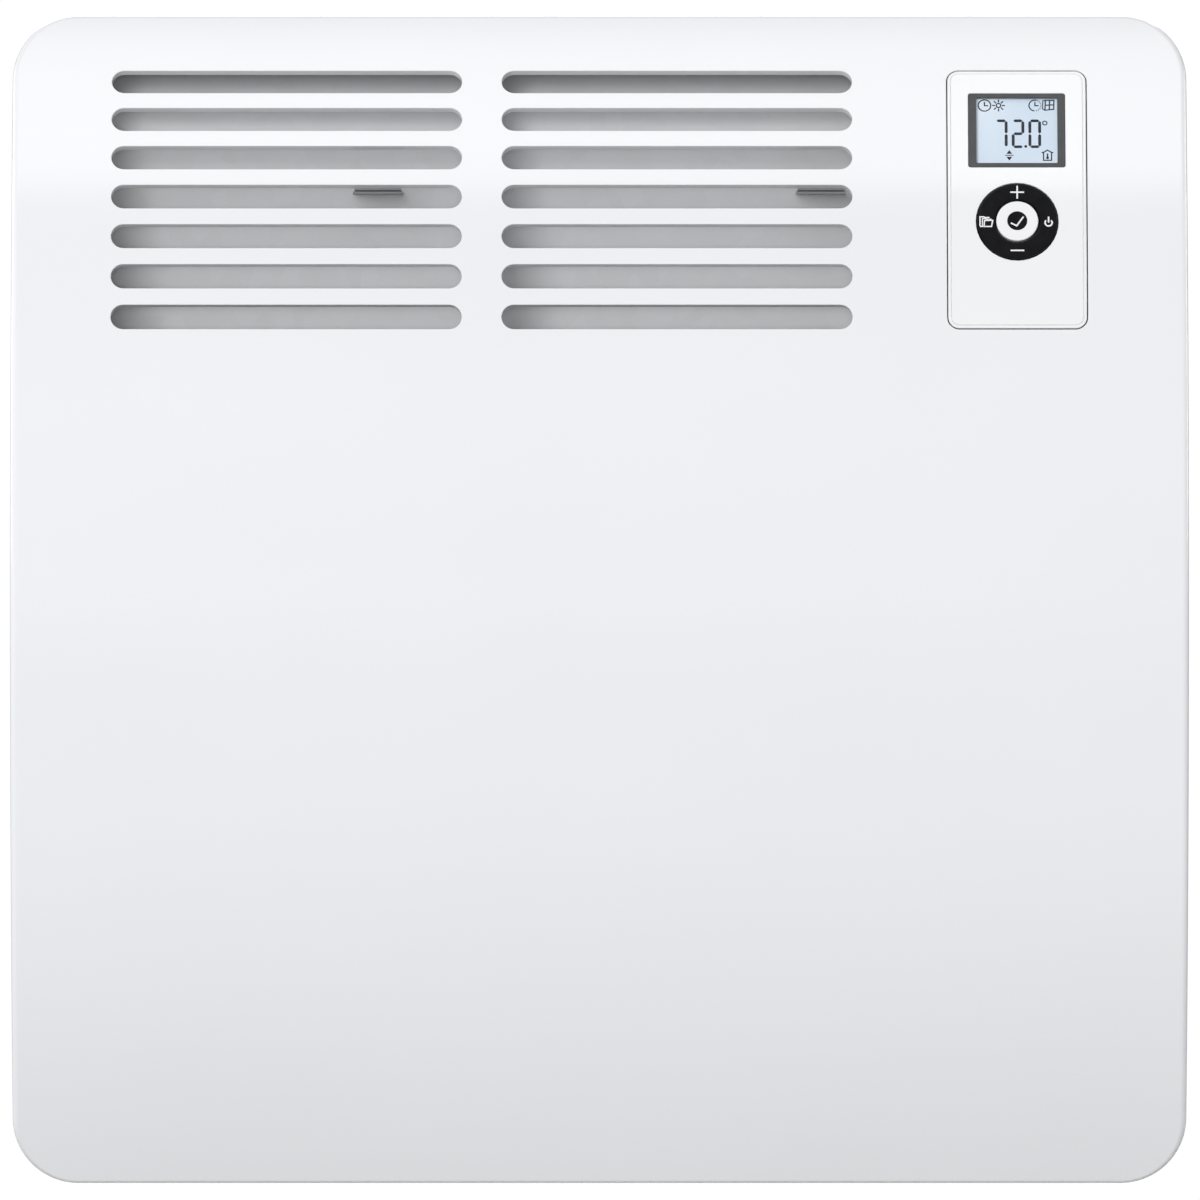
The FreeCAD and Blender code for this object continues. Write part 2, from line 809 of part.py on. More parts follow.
def rear_panel():
    """Flat back sheet with stiffening beads, vents and the openings for bracket and cable."""
    plate = box(
        "rear_plate",
        ("-casing_half_x", "casing_half_x"),
        ("rear_front_y", "-wall_gap"),
        ("-casing_half_z", "casing_half_z"),
    )
    pieces = [plate]
    holes = [rivet_holes, buffer_holes]
    for sign in ("-", "+"):
        middle = f"{sign}bead_x"
        outer = [(middle, "-bead_length / 2"), (middle, "bead_length / 2")]
        pieces.append(
            loop_plate(
                "bead_ridge",
                [(outer, "bead_width / 2 + casing_sheet")],
                "wall_gap + casing_sheet / 2",
                "wall_gap + casing_sheet + bead_depth",
            )
        )
        holes.append(loop_plate("bead_groove", [(outer, "bead_width / 2")], "0", "wall_gap + bead_depth"))
    for name, x, low in (
        ("board_vents", "power_x", "power_z - vent_fall"),
        ("left_intakes", "-power_x", "intake_low_z"),
        ("middle_intakes", "0", "intake_low_z"),
    ):
        holes.append(vent_tool(name, x, low))
    for side in (1, -1):
        holes.append(
            box(
                "hang_slot",
                mirrored_x(("rail_flange_x - hang_play", "rail_outer_x + hang_play"), side),
                ("-2 * wall_gap", "0"),
                ("hang_z - hang_neck - hang_nose - 2 * hang_play", "hang_z + pin_fit"),
            )
        )
        holes.append(
            box(
                "latch_slot",
                mirrored_x(("latch_inner_x - hang_play", "latch_outer_x + hang_play"), side),
                ("-2 * wall_gap", "0"),
                ("latch_neck_z - sheet_fit", "latch_neck_z + latch_neck + latch_travel + hang_play"),
            )
        )
    for name, radius, x, z in (
        ("cable_hole", "grommet_waist + pin_fit", "grommet_x", "grommet_z"),
        ("earth_hole", "earth_screw_radius + pin_fit", "earth_x", "earth_z"),
    ):
        holes.append(rod(name, "y", radius, (x, "-2 * wall_gap", z), "2 * wall_gap"))
    whole = fuse("rear_whole", *pieces)
    node("rear_panel", cut("rear_panel", whole, fuse("rear_holes", *holes)))


def vent_tool(name, x, low):
    """A column of horizontal slots through the rear panel."""
    body = doc.addObject("PartDesign::Body", name)
    body.AllowCompound = True
    sketch = new_sketch(body, "XZ_Plane", "0")
    draw_loop(sketch, slot_centres("vent_length", "vent_height", x, low), "vent_height / 2")
    bars = pad(body, sketch, "2 * wall_gap")
    doc.recompute()
    linear(body, bars, "Z_Axis", "vent_count", "vent_pitch")
    return body


def pinned(name, points, x, z):
    """A turned piece whose axis is parallel to Y."""
    body = turned(name, points)
    return bind(body, Placement__Base__x=x, Placement__Base__z=z)


def rivet_places():
    """Rivets along the flanges of the cheeks, covers and partition, as (x, z)."""
    spots = []
    for side in ("-", "+"):
        for rise in ("-rivet_rise", "0", "rivet_rise"):
            spots.append((f"{side}(casing_inner_x - rivet_inset)", rise))
        for rise in ("-", "+"):
            spots.append((f"{side}rivet_side", f"{rise}(casing_inner_z - rivet_inset)"))
    for rise in ("-rivet_rise", "0", "rivet_rise"):
        spots.append(("partition_right + rivet_inset", rise))
    return spots


def casing_rivets():
    profile = [
        ("0", "-wall_gap + rivet_cap"),
        ("rivet_head / 2", "-wall_gap + rivet_cap"),
        ("rivet_head", "-wall_gap + rivet_cap / 2"),
        ("rivet_head", "-wall_gap"),
        ("rivet_radius", "-wall_gap"),
        ("rivet_radius", "flange_front_y"),
        ("rivet_tail", "flange_front_y"),
        ("rivet_tail", "flange_front_y - rivet_tail_cap"),
        ("0", "flange_front_y - rivet_tail_cap"),
    ]
    rivets = [pinned(f"rivet_{i}", profile, x, z) for i, (x, z) in enumerate(rivet_places())]
    node("casing_rivets", group("casing_rivets", rivets))


def side_cheek(label, side):
    """Flat end sheet with a bowed front edge and a flange on the rear panel."""
    sheet_x = mirrored_x(("casing_inner_x", "casing_half_x"), side)
    flange_x = mirrored_x(("casing_inner_x - casing_flange", "casing_inner_x + casing_sheet / 2"), side)
    plate = box(
        label + "_plate", sheet_x, ("-overall_depth", "rear_front_y"), ("-casing_half_z", "casing_half_z")
    )
    trimmed = common(label + "_trimmed", plate, bow(label + "_edge", "casing_front"))
    flange = box(
        label + "_flange", flange_x, ("flange_front_y", "rear_front_y"), ("-flange_half_z", "flange_half_z")
    )
    node(label, cut(label, fuse(label + "_whole", trimmed, flange), rivet_holes))


def cover(label, side):
    """Sheet that closes the casing at the top or bottom, with a flange on the rear panel."""
    low, high = ("casing_inner_z", "casing_half_z")
    flange = ("casing_inner_z - casing_flange", "casing_inner_z + casing_sheet / 2")
    across = ("-casing_inner_x + sheet_fit", "casing_inner_x - sheet_fit")
    plate = box(label + "_plate", across, ("cover_front_y", "rear_front_y"), mirrored_x((low, high), side))
    strip = box(label + "_flange", across, ("flange_front_y", "rear_front_y"), mirrored_x(flange, side))
    return fuse(label + "_whole", plate, strip)


def top_cover():
    node("top_cover", cut("top_cover", cover("top_cover", 1), rivet_holes))


def inlet_grille():
    """Bottom sheet with a row of air inlet slots."""
    tool = doc.addObject("PartDesign::Body", "inlet_slots")
    tool.AllowCompound = True
    sketch = new_sketch(tool, "XY_Plane", "-casing_half_z - casing_sheet")
    first = "-(inlet_count - 1) / 2 * inlet_pitch"
    middle = "(cover_front_y + rear_front_y) / 2"
    reach = "(inlet_slot_length - inlet_slot_width) / 2"
    draw_loop(
        sketch, [(first, f"{middle} - {reach}"), (first, f"{middle} + {reach}")], "inlet_slot_width / 2"
    )
    bars = pad(tool, sketch, "3 * casing_sheet")
    doc.recompute()
    linear(tool, bars, "X_Axis", "inlet_count", "inlet_pitch")
    holes = [tool, rivet_holes]
    for sign in ("-", "+"):
        start = (f"{sign}casing_screw_x", "casing_screw_y", "-casing_half_z - casing_sheet")
        holes.append(rod("grille_hole", "z", "casing_screw_radius + pin_fit", start, "3 * casing_sheet"))
    node("inlet_grille", cut("inlet_grille", cover("inlet_grille", -1), fuse("grille_holes", *holes)))


def partition():
    """Upright sheet between the hot duct and the electronics."""
    sheet_x = ("partition_x", "partition_right")
    high = "casing_inner_z - sheet_fit"
    plate = box(
        "partition_plate", sheet_x, ("-overall_depth", "flange_front_y - sheet_fit"), (f"-({high})", high)
    )
    trimmed = common("partition_trimmed", plate, bow("partition_edge", "casing_front"))
    middle = ("-flange_half_z", "flange_half_z")
    web = box("partition_web", sheet_x, ("flange_front_y - 2 * sheet_fit", "rear_front_y"), middle)
    foot_x = ("partition_x", "partition_right + casing_flange")
    foot = box("partition_foot", foot_x, ("flange_front_y", "rear_front_y"), middle)
    holes = [rivet_holes]
    for y in ("tube_front_y", "tube_rear_y"):
        start = ("partition_x - casing_sheet", y, "element_z")
        holes.append(rod("tube_pass", "x", "bush_radius", start, "3 * casing_sheet"))
    whole = fuse("partition_whole", trimmed, web, foot)
    node("partition", cut("partition", whole, fuse("partition_holes", *holes)))


def air_guide():
    """Bent sheet that leads the warm air forward to the slots and turns back under the top cover."""
    face = [
        ("-guide_rear", "duct_foot_z"),
        ("-guide_rear", "guide_bend_z"),
        ("guide_throat_y", "guide_throat_z"),
        ("guide_knee_y", "guide_knee_z"),
        ("guide_knee_y + guide_rake", "guide_top_z"),
    ]
    back = [(f"{y} + guide_sheet", z) for y, z in reversed(face)]
    node("air_guide", prism("air_guide", "YZ_Plane", face + back, "duct_left", "duct_right"))


def heat_shield():
    """Bowed sheet behind the front panel, with a lip that closes the gap below the slots."""
    across = ("duct_left", "duct_right")
    ring = cut("shield_ring", bow("shield_face", "shield_radius"), bow("shield_back", "shield_core"))
    reach = box("shield_reach", across, ("-overall_depth", "0"), ("duct_foot_z", "shield_top_z"))
    lip = box(
        "shield_lip", across, ("-overall_depth", "0"), ("shield_top_z - shield_sheet", "shield_top_z")
    )
    front = common("shield_lip_front", lip, bow("shield_lip_edge", "casing_front"))
    trimmed = cut("shield_lip_trimmed", front, bow("shield_lip_back", "shield_core"))
    node("heat_shield", fuse("heat_shield", common("shield_sheet_part", reach, ring), trimmed))


def panel_hooks():
    """Two hemmed tabs on the air guide; they stop the panel where its slot rims are pressed in."""
    face = [
        ("guide_throat_y - sheet_fit", "guide_throat_z"),
        ("guide_top_y - sheet_fit", "guide_top_z"),
        ("0", "guide_top_z"),
        ("0", "guide_throat_z"),
    ]
    behind = prism("hook_limit", "YZ_Plane", face, "-panel_width", "panel_width")
    turned_back = "hook_front + hook_length / 3"
    hooks = []
    for x in ("hook_left_x", "hook_right_x"):
        wide = (f"{x} - hook_width / 2", f"{x} + hook_width / 2")
        slim = (f"{x} - hook_leaf_width / 2", f"{x} + hook_leaf_width / 2")
        length = ("hook_front", "hook_front + hook_length")
        lower = box("hook_lower", wide, length, ("hook_low", "hook_low + hook_leaf"))
        upper = box("hook_upper", slim, ("hook_front", turned_back), ("hook_high - hook_leaf", "hook_high"))
        bend = box("hook_fold", slim, (f"{turned_back} - hook_bend", turned_back), ("hook_low", "hook_high"))
        hooks.append(cut("hook_trimmed", fuse("hook_whole", lower, upper, bend), behind))
    node("panel_hooks", group("panel_hooks", hooks))


def element():
    """Finned tubular heater: hairpin tube, fins, end brackets, bushes and terminals."""
    run = "element_end - element_left"
    legs = [
        rod("tube_leg", "x", "element_tube_radius", ("element_left", y, "element_z"), run)
        for y in ("tube_front_y", "tube_rear_y")
    ]
    bend = doc.addObject("Part::Torus", "tube_bend")
    bend.Angle3 = 180
    bend.Placement.Rotation = FreeCAD.Rotation(Z_AXIS, 90)
    bind(
        bend,
        Radius1="element_bend_radius",
        Radius2="element_tube_radius",
        Placement__Base__x="element_left",
        Placement__Base__y="element_y",
        Placement__Base__z="element_z",
    )
    node("element_tube", fuse("element_tube", *legs, bend))

    fins = doc.addObject("PartDesign::Body", "element_fins")
    fins.AllowCompound = True
    sketch = new_sketch(fins, "YZ_Plane", "fin_middle_x - (fin_count - 1) / 2 * fin_pitch - fin_sheet / 2")
    sides = ("element_y - fin_depth / 2", "element_y + fin_depth / 2")
    ends = ("element_z - fin_height / 2", "element_z + fin_height / 2")
    draw_polygon(sketch, [(sides[0], ends[0]), (sides[1], ends[0]), (sides[1], ends[1]), (sides[0], ends[1])])
    for y in ("tube_front_y", "tube_rear_y"):
        index = sketch.addGeometry(
            Part.Circle(FreeCAD.Vector(value(y), value("element_z"), 0), Z_AXIS, value("element_tube_radius"))
        )
        hold(sketch, "DistanceX", index, 3, y)
        hold(sketch, "DistanceY", index, 3, "element_z")
        hold_radius(sketch, index, "element_tube_radius + pivot_fit")
    fin = pad(fins, sketch, "fin_sheet")
    doc.recompute()
    linear(fins, fin, "X_Axis", "fin_count", "fin_pitch")
    node("element_fins", fins)

    bushes = []
    for label, x, inward in (
        ("element_bracket_left", "holder_left", 1),
        ("element_bracket_right", "holder_right", -1),
    ):
        sheet_x = (x, f"{x} + holder_sheet")
        rise = ("element_z - holder_height / 2", "element_z + holder_height / 2")
        blank = box(label + "_plate", sheet_x, ("element_y - fin_depth / 2", "-guide_rear"), rise)
        plate = common(label + "_trimmed", blank, bow(label + "_limit", "shield_core - sheet_fit"))
        foot_x = (f"{x} - holder_foot", sheet_x[1]) if inward > 0 else (x, f"{sheet_x[1]} + holder_foot")
        foot = box(label + "_foot", foot_x, ("-guide_rear - holder_sheet", "-guide_rear"), rise)
        holes = []
        for y in ("tube_front_y", "tube_rear_y"):
            spot = (f"{x} - holder_sheet", y, "element_z")
            holes.append(rod("bush_hole", "x", "bush_hole", spot, "3 * holder_sheet"))
            collar = sheet_x[1] if inward > 0 else f"{x} - bush_collar"
            outside = f"{x} - bush_collar" if inward > 0 else x
            through = "bush_collar + holder_sheet"
            sleeve = rod("bush_sleeve", "x", "bush_radius", (outside, y, "element_z"), through)
            ring = rod("bush_collar", "x", "bush_collar_radius", (collar, y, "element_z"), "bush_collar")
            bore_start = (f"{x} - 2 * bush_collar", y, "element_z")
            bore = rod("bush_bore", "x", "element_tube_radius + pivot_fit", bore_start, "5 * bush_collar")
            bushes.append(cut("bush", fuse("bush_whole", sleeve, ring), bore))
        node(label, cut(label, fuse(label + "_whole", plate, foot), fuse(label + "_holes", *holes)))
    node("element_bushes", group("element_bushes", bushes))

    terminals = []
    for y in ("tube_front_y", "tube_rear_y"):
        start = ("element_end", y, "element_z")
        stud = rod("terminal_stud", "x", "stud_radius", start, "stud_length + tab_sheet")
        tab = terminal_tab("element_end + stud_length", y, "element_z")
        terminals.append(fuse("element_terminal", stud, tab))
    node("element_terminals", group("element_terminals", terminals))


def terminal_tab(x, y, z):
    """Flat push-on tab that points along +X."""
    return box(
        "push_tab",
        (x, f"{x} + tab_length"),
        (f"{y} - tab_sheet / 2", f"{y} + tab_sheet / 2"),
        (f"{z} - tab_width / 2", f"{z} + tab_width / 2"),
    )


def safety_limiter():
    """Bimetal cut-out on the cool side of the partition, in line with the rear tube leg."""
    start = ("partition_right", "tube_rear_y", "limiter_z")
    can = rod("limiter_can", "x", "limiter_radius", start, "limiter_height")
    flange = box(
        "limiter_flange_plate",
        ("partition_right", "partition_right + limiter_flange_sheet"),
        ("tube_rear_y - limiter_flange / 2", "tube_rear_y + limiter_flange / 2"),
        ("limiter_z - limiter_radius", "limiter_z + limiter_radius"),
    )
    pieces = [can, flange]
    inside = "partition_right + limiter_height / 2"
    for sign in ("-", "+"):
        rise = f"limiter_z {sign} limiter_tab_rise"
        pieces.append(
            box(
                "limiter_tab",
                (inside, "lead_x + tab_width / 2"),
                ("tube_rear_y - tab_sheet / 2", "tube_rear_y + tab_sheet / 2"),
                (f"{rise} - tab_width / 2", f"{rise} + tab_width / 2"),
            )
        )
    node("safety_limiter", fuse("safety_limiter", *pieces))


def local_y(depth):
    """Place along Y, in the frame of the bow, at a depth behind the panel's face."""
    return f"-bow_radius + ({depth})"


def local_plate(name, width, height, radius, front, back):
    """A rounded plate between two depths behind the panel's face."""
    return rounded_plate(name, width, height, radius, f"bow_radius - ({back})", f"bow_radius - ({front})")


def control_fascia():
    """Bowed plastic plate in the window of the front panel."""
    block = local_plate(
        "fascia_block",
        "control_width - 2 * control_gap",
        "control_height - 2 * control_gap",
        "control_corner - control_gap",
        "-panel_return",
        "panel_return",
    )
    solid = common("fascia_solid", block, local_bow("fascia_face", "fascia_front"))
    plate = cut("fascia_plate", solid, local_bow("fascia_rear", "fascia_back"))
    bevelled = eased("Part::Chamfer", "fascia_bevelled", plate, "fascia_front", "control_bevel")
    opening = local_plate(
        "display_opening",
        "bezel_width + 2 * pin_fit",
        "bezel_height + 2 * pin_fit",
        "bezel_corner",
        "-panel_return",
        "panel_return",
    )
    swing(opening, "display_rise", y="0")
    start = ("0", local_y("-panel_return"), "0")
    ring_hole = rod("ring_hole", "y", "ring_radius + ring_gap", start, "2 * panel_return")
    turned_hole = swing(group("ring_hole_place", [ring_hole]), "-nav_fall", y="0")
    whole = cut("control_fascia", bevelled, fuse("fascia_holes", opening, turned_hole))
    node("control_fascia", swing(whole, "control_arc", "control_x"))


def control_housing():
    """Plastic box behind the fascia, with ears on the weld studs of the front panel."""
    side = "housing_inner_x + housing_wall"
    rise = "housing_inner_z + housing_wall"
    deep = local_y("housing_depth")
    outer = box("housing_outer", (f"-({side})", side), (local_y("-panel_return"), deep), (f"-({rise})", rise))
    trimmed = common("housing_trimmed", outer, local_bow("housing_face", "housing_front"))
    ear_side = f"{side} + housing_ear"
    ears = box(
        "housing_ears", (f"-({ear_side})", ear_side), (local_y("-panel_return"), deep), (f"-({rise})", rise)
    )
    skin = cut(
        "housing_skin",
        local_bow("housing_ear_face", "housing_front"),
        local_bow("housing_ear_back", "housing_front - housing_wall"),
    )
    inside = box(
        "housing_inside",
        ("-housing_inner_x", "housing_inner_x"),
        (local_y("-panel_return"), f"{deep} - housing_wall"),
        ("-housing_inner_z", "housing_inner_z"),
    )
    ribbon_pass = box(
        "ribbon_pass",
        ("-ribbon_width / 2 - ribbon_sheet", "ribbon_width / 2 + ribbon_sheet"),
        (local_y("housing_depth / 2"), local_y("2 * housing_depth")),
        ("-ribbon_fall - ribbon_hole", "-ribbon_fall + ribbon_hole"),
    )
    holes = [inside, swing(group("ribbon_pass_place", [ribbon_pass]), "-nav_fall", y="0")]
    for sign in ("-", "+"):
        for up in ("-", "+"):
            start = (f"{sign}weld_stud_side", "-panel_inner", "0")
            hole = rod("stud_hole", "y", "weld_stud_radius + pin_fit", start, "weld_stud_length")
            holes.append(swing(group("stud_hole_place", [hole]), f"{up}weld_stud_rise", y="0"))
    whole = fuse("housing_whole", trimmed, common("housing_ear_plate", ears, skin))
    housing = cut("control_housing", whole, fuse("housing_holes", *holes))
    node("control_housing", swing(housing, "control_arc", "control_x"))


def housing_nuts():
    corners = [(f"nut_radius * cos({60 * i})", f"nut_radius * sin({60 * i})") for i in range(6)]
    front = "panel_inner - sheet_fit - housing_wall - pin_fit"
    nuts = []
    for sign in ("-", "+"):
        for up in ("-", "+"):
            places = [(f"{sign}weld_stud_side + {a}", b) for a, b in corners]
            blank = prism("nut_blank", "XZ_Plane", places, f"{front} - nut_height", front)
            start = (f"{sign}weld_stud_side", "-panel_inner", "0")
            bore = rod("nut_bore", "y", "weld_stud_radius + pivot_fit", start, "2 * weld_stud_length")
            nuts.append(swing(cut("nut", blank, bore), f"control_arc {up} weld_stud_rise", "control_x"))
    node("housing_nuts", group("housing_nuts", nuts))


def display():
    """Dark bezel, clear lens and LCD, stacked behind the fascia's opening."""
    arc = "control_arc + display_rise"
    back = "bezel_seat + bezel_flange_sheet"
    frame = local_plate("bezel_frame", "bezel_width", "bezel_height", "bezel_corner", "0", back)
    flange = local_plate(
        "bezel_flange_plate",
        "bezel_width + 2 * bezel_flange",
        "bezel_height + 2 * bezel_flange",
        "bezel_corner",
        "bezel_seat",
        back,
    )
    inner_corner = "bezel_corner / 2"
    opening = local_plate(
        "bezel_opening", "screen_width", "screen_height", inner_corner, "-panel_return", back
    )
    pocket = local_plate(
        "bezel_pocket",
        "lens_width + 2 * pin_fit",
        "lens_height + 2 * pin_fit",
        inner_corner,
        "bezel_front",
        "panel_return",
    )
    bezel = cut("display_bezel", fuse("bezel_whole", frame, flange), fuse("bezel_holes", opening, pocket))
    node("display_bezel", swing(bezel, arc, "control_x"))
    for label, front, thick in (
        ("display_lens", "bezel_front", "lens_sheet"),
        ("lcd_panel", "bezel_front + lens_sheet + pivot_fit", "lcd_sheet"),
    ):
        pane = local_plate(label, "lens_width", "lens_height", inner_corner, front, f"{front} + {thick}")
        node(label, swing(pane, arc, "control_x"))


NAV = "control_arc - nav_fall"


def nav_ring():
    """Four-way key ring with pivot lugs, push rods and a flange behind the fascia."""
    rim = local_y("ring_round - ring_proud")
    top = local_y("-ring_proud")
    ring = turned(
        "ring_turned",
        [
            ("ring_bore", rim),
            ("ring_bore + ring_round", top),
            ("ring_radius - ring_round", top),
            ("ring_radius", rim),
            ("ring_radius", local_y("ring_flange_front")),
            ("ring_flange_radius", local_y("ring_flange_front")),
            ("ring_flange_radius", local_y("ring_back")),
            ("ring_bore", local_y("ring_back")),
        ],
    )
    depth = (local_y("ring_flange_front"), local_y("lug_end"))
    pieces = [ring]
    holes = []
    for sign in (1, -1):
        rise = mirrored_x(("lug_inner", "lug_outer"), sign)
        pieces.append(box("ring_lug", ("-lug_width / 2", "lug_width / 2"), depth, rise))
        spot = ("0", local_y("pivot_depth"), f"{rise[0]} - pin_fit")
        through = "lug_outer - lug_inner + 2 * pin_fit"
        holes.append(rod("lug_hole", "z", "pivot_radius + pivot_fit", spot, through))
        side = f"{sign} * rod_side"
        pieces.append(
            box(
                "ring_rod",
                (f"{side} - rod_width / 2", f"{side} + rod_width / 2"),
                depth,
                ("rod_rise - rod_width / 2", "rod_rise + rod_width / 2"),
            )
        )
    whole = cut("nav_ring", fuse("ring_whole", *pieces), fuse("ring_holes", *holes))
    node("nav_ring", swing(whole, NAV, "control_x"))


def nav_gimbal():
    """Ring between the key ring and its carrier, with two crossed pairs of pivots."""
    front = local_y("pivot_depth - gimbal_sheet / 2")
    disc = rod("gimbal_disc", "y", "gimbal_radius", ("0", front, "0"), "gimbal_sheet")
    bore = rod("gimbal_bore_tool", "y", "gimbal_bore", ("0", local_y("0"), "0"), "housing_depth")
    root = "(gimbal_radius + gimbal_bore) / 2"
    pieces = [cut("gimbal_ring", disc, bore)]
    middle = local_y("pivot_depth")
    for axis, reach in (("z", "lug_outer - pin_fit"), ("x", "post_inner + post_sheet - pin_fit")):
        for sign in (1, -1):
            start = root if sign > 0 else f"-({reach})"
            spot = (start, middle, "0") if axis == "x" else ("0", middle, start)
            pieces.append(rod("gimbal_pivot", axis, "pivot_radius", spot, f"{reach} - {root}"))
    node("nav_gimbal", swing(fuse("nav_gimbal", *pieces), NAV, "control_x"))


def key_carrier():
    """Frame behind the keys: bearing posts for the gimbal, a sleeve for the key, feet and legs."""
    plate = local_plate("carrier_plate", "carrier_width", "carrier_height", "carrier_post_radius",
                        "carrier_front", "carrier_back")
    sleeve = rod("carrier_sleeve", "y", "sleeve_radius", ("0", local_y("sleeve_front"), "0"),
                 "carrier_back - sleeve_front")
    pieces = [plate, sleeve]
    holes = [rod("sleeve_bore", "y", "stem_radius + pin_fit", ("0", local_y("0"), "0"), "housing_depth")]
    room = "tilt_room"
    through = (local_y("carrier_front - carrier_sheet"), local_y("carrier_back + carrier_sheet"))
    for sign in (1, -1):
        reach = mirrored_x(("post_inner", "post_inner + post_sheet"), sign)
        pieces.append(box("bearing_post", reach, (local_y("post_front"), local_y("carrier_back")),
                          ("-lug_width / 2", "lug_width / 2")))
        start = (f"{reach[0]} - pin_fit", local_y("pivot_depth"), "0")
        holes.append(rod("bearing_hole", "x", "pivot_radius + pivot_fit", start, "post_sheet + 2 * pin_fit"))
        holes.append(
            box(
                "lug_room",
                (f"-lug_width / 2 - {room}", f"lug_width / 2 + {room}"),
                through,
                mirrored_x((f"lug_inner - {room}", f"lug_outer + {room}"), sign),
            )
        )
        side = f"{sign} * rod_side"
        holes.append(
            box(
                "rod_room",
                (f"{side} - rod_width / 2 - {room}", f"{side} + rod_width / 2 + {room}"),
                through,
                (f"rod_rise - rod_width / 2 - {room}", f"rod_rise + rod_width / 2 + {room}"),
            )
        )
        for up in ("-", "+"):
            foot = (f"{sign} * carrier_post_side", local_y("carrier_seat"), f"{up}carrier_post_rise")
            tall = "control_board_front - carrier_seat"
            pieces.append(rod("carrier_post", "y", "carrier_post_radius", foot, tall))
    whole = cut("key_carrier", fuse("carrier_whole", *pieces), fuse("carrier_holes", *holes))
    node("key_carrier", swing(whole, NAV, "control_x"))


def centre_key():
    """Round centre key with a guided stem, and the dark dot let into it."""
    top = local_y("-key_proud")
    floor = local_y("inlay_depth - key_proud")
    pocket = "inlay_radius + pivot_fit"
    key = turned(
        "ok_key",
        [
            ("0", floor),
            (pocket, floor),
            (pocket, top),
            ("key_radius - key_round", top),
            ("key_radius", f"{top} + key_round"),
            ("key_radius", local_y("key_back")),
            ("stem_radius", local_y("key_back")),
            ("stem_radius", local_y("carrier_back + pin_fit")),
            ("stem_collar_radius", local_y("carrier_back + pin_fit")),
            ("stem_collar_radius", local_y("stem_end")),
            ("0", local_y("stem_end")),
        ],
    )
    node("ok_key", swing(key, NAV, "control_x"))
    face = f"{top} - inlay_proud"
    dot = turned(
        "ok_inlay",
        [
            ("0", face),
            ("inlay_radius - inlay_proud", face),
            ("inlay_radius", top),
            ("inlay_radius", floor),
            ("0", floor),
        ],
    )
    node("ok_inlay", swing(dot, NAV, "control_x"))


def control_board():
    """Board behind the keys, with the five switches that they press."""
    board = local_plate("control_board", "control_board_width", "control_board_height", "carrier_post_radius",
                        "control_board_front", "control_board_front + board_sheet")
    node("control_board", swing(board, NAV, "control_x"))
    lug_middle = "(lug_inner + lug_outer) / 2"
    spots = [
        ("0", "0"),
        ("0", lug_middle),
        ("0", f"-{lug_middle}"),
        ("rod_side", "rod_rise"),
        ("-rod_side", "rod_rise"),
    ]
    switches = []
    for x, z in spots:
        front = "control_board_front - switch_height"
        half = "switch_width / 2"
        can = box(
            "switch_can",
            (f"{x} - {half}", f"{x} + {half}"),
            (local_y(front), local_y("control_board_front")),
            (f"{z} - {half}", f"{z} + {half}"),
        )
        tip = (x, local_y(f"{front} - switch_cap_height"), z)
        cap = rod("switch_cap", "y", "switch_cap_radius", tip, "switch_cap_height + switch_height / 2")
        switches.append(swing(fuse("switch", can, cap), NAV, "control_x"))
    node("key_switches", group("key_switches", switches))


def power_board():
    """Power board on stand-offs, with its screws, relay, capacitor and connectors."""
    spots = [
        (f"power_x {side} (power_width / 2 - power_hole_inset)", z)
        for side in ("-", "+")
        for z in ("power_low_z + power_hole_low", "power_high_z - power_hole_inset")
    ]
    plate = box(
        "power_plate",
        ("power_left_x", "power_x + power_width / 2"),
        ("board_front_y", "board_y"),
        ("power_low_z", "power_high_z"),
    )
    holes = []
    posts = []
    screws = []
    for i, (x, z) in enumerate(spots):
        start = (x, "board_front_y - board_sheet", z)
        holes.append(rod("board_hole", "y", "board_screw_radius + pin_fit", start, "3 * board_sheet"))
        seat = (x, "board_y", z)
        post = rod("standoff_post", "y", "standoff_radius", seat, "standoff_height")
        thread_depth = "board_screw_length - board_sheet"
        thread = rod("standoff_thread", "y", "board_screw_radius + pivot_fit", seat, thread_depth)
        posts.append(cut("standoff", post, thread))
        screws.append(
            pinned(
                f"board_screw_{i}",
                [
                    ("0", "board_front_y - board_screw_cap"),
                    ("board_screw_head / 2", "board_front_y - board_screw_cap"),
                    ("board_screw_head", "board_front_y - board_screw_cap / 2"),
                    ("board_screw_head", "board_front_y"),
                    ("board_screw_radius", "board_front_y"),
                    ("board_screw_radius", "board_front_y + board_screw_length - pin_fit"),
                    ("0", "board_front_y + board_screw_length - pin_fit"),
                ],
                x,
                z,
            )
        )
    node("power_board", cut("power_board", plate, fuse("board_holes", *holes)))
    node("board_standoffs", group("board_standoffs", posts))
    node("board_screws", group("board_screws", screws))
    relay = on_board(
        "relay", "power_x - relay_side", "power_z - relay_fall", "relay_width", "relay_height", "relay_depth"
    )
    node("power_relay", relay)
    capacitor = on_board(
        "capacitor",
        "power_x + capacitor_side",
        "power_z - capacitor_fall",
        "capacitor_width",
        "capacitor_height",
        "capacitor_depth",
    )
    node("filter_capacitor", capacitor)
    low = "power_low_z + connector_height / 2"
    high = "power_high_z - connector_height / 2"
    sockets = [
        on_board("connector", x, z, width, "connector_height", "connector_depth")
        for x, z, width in (
            ("mains_x", low, "mains_connector_width"),
            ("element_connector_x", low, "element_connector_width"),
            ("sensor_x", low, "sensor_connector_width"),
            ("control_x", high, "ribbon_connector_width"),
        )
    ]
    node("board_connectors", group("board_connectors", sockets))


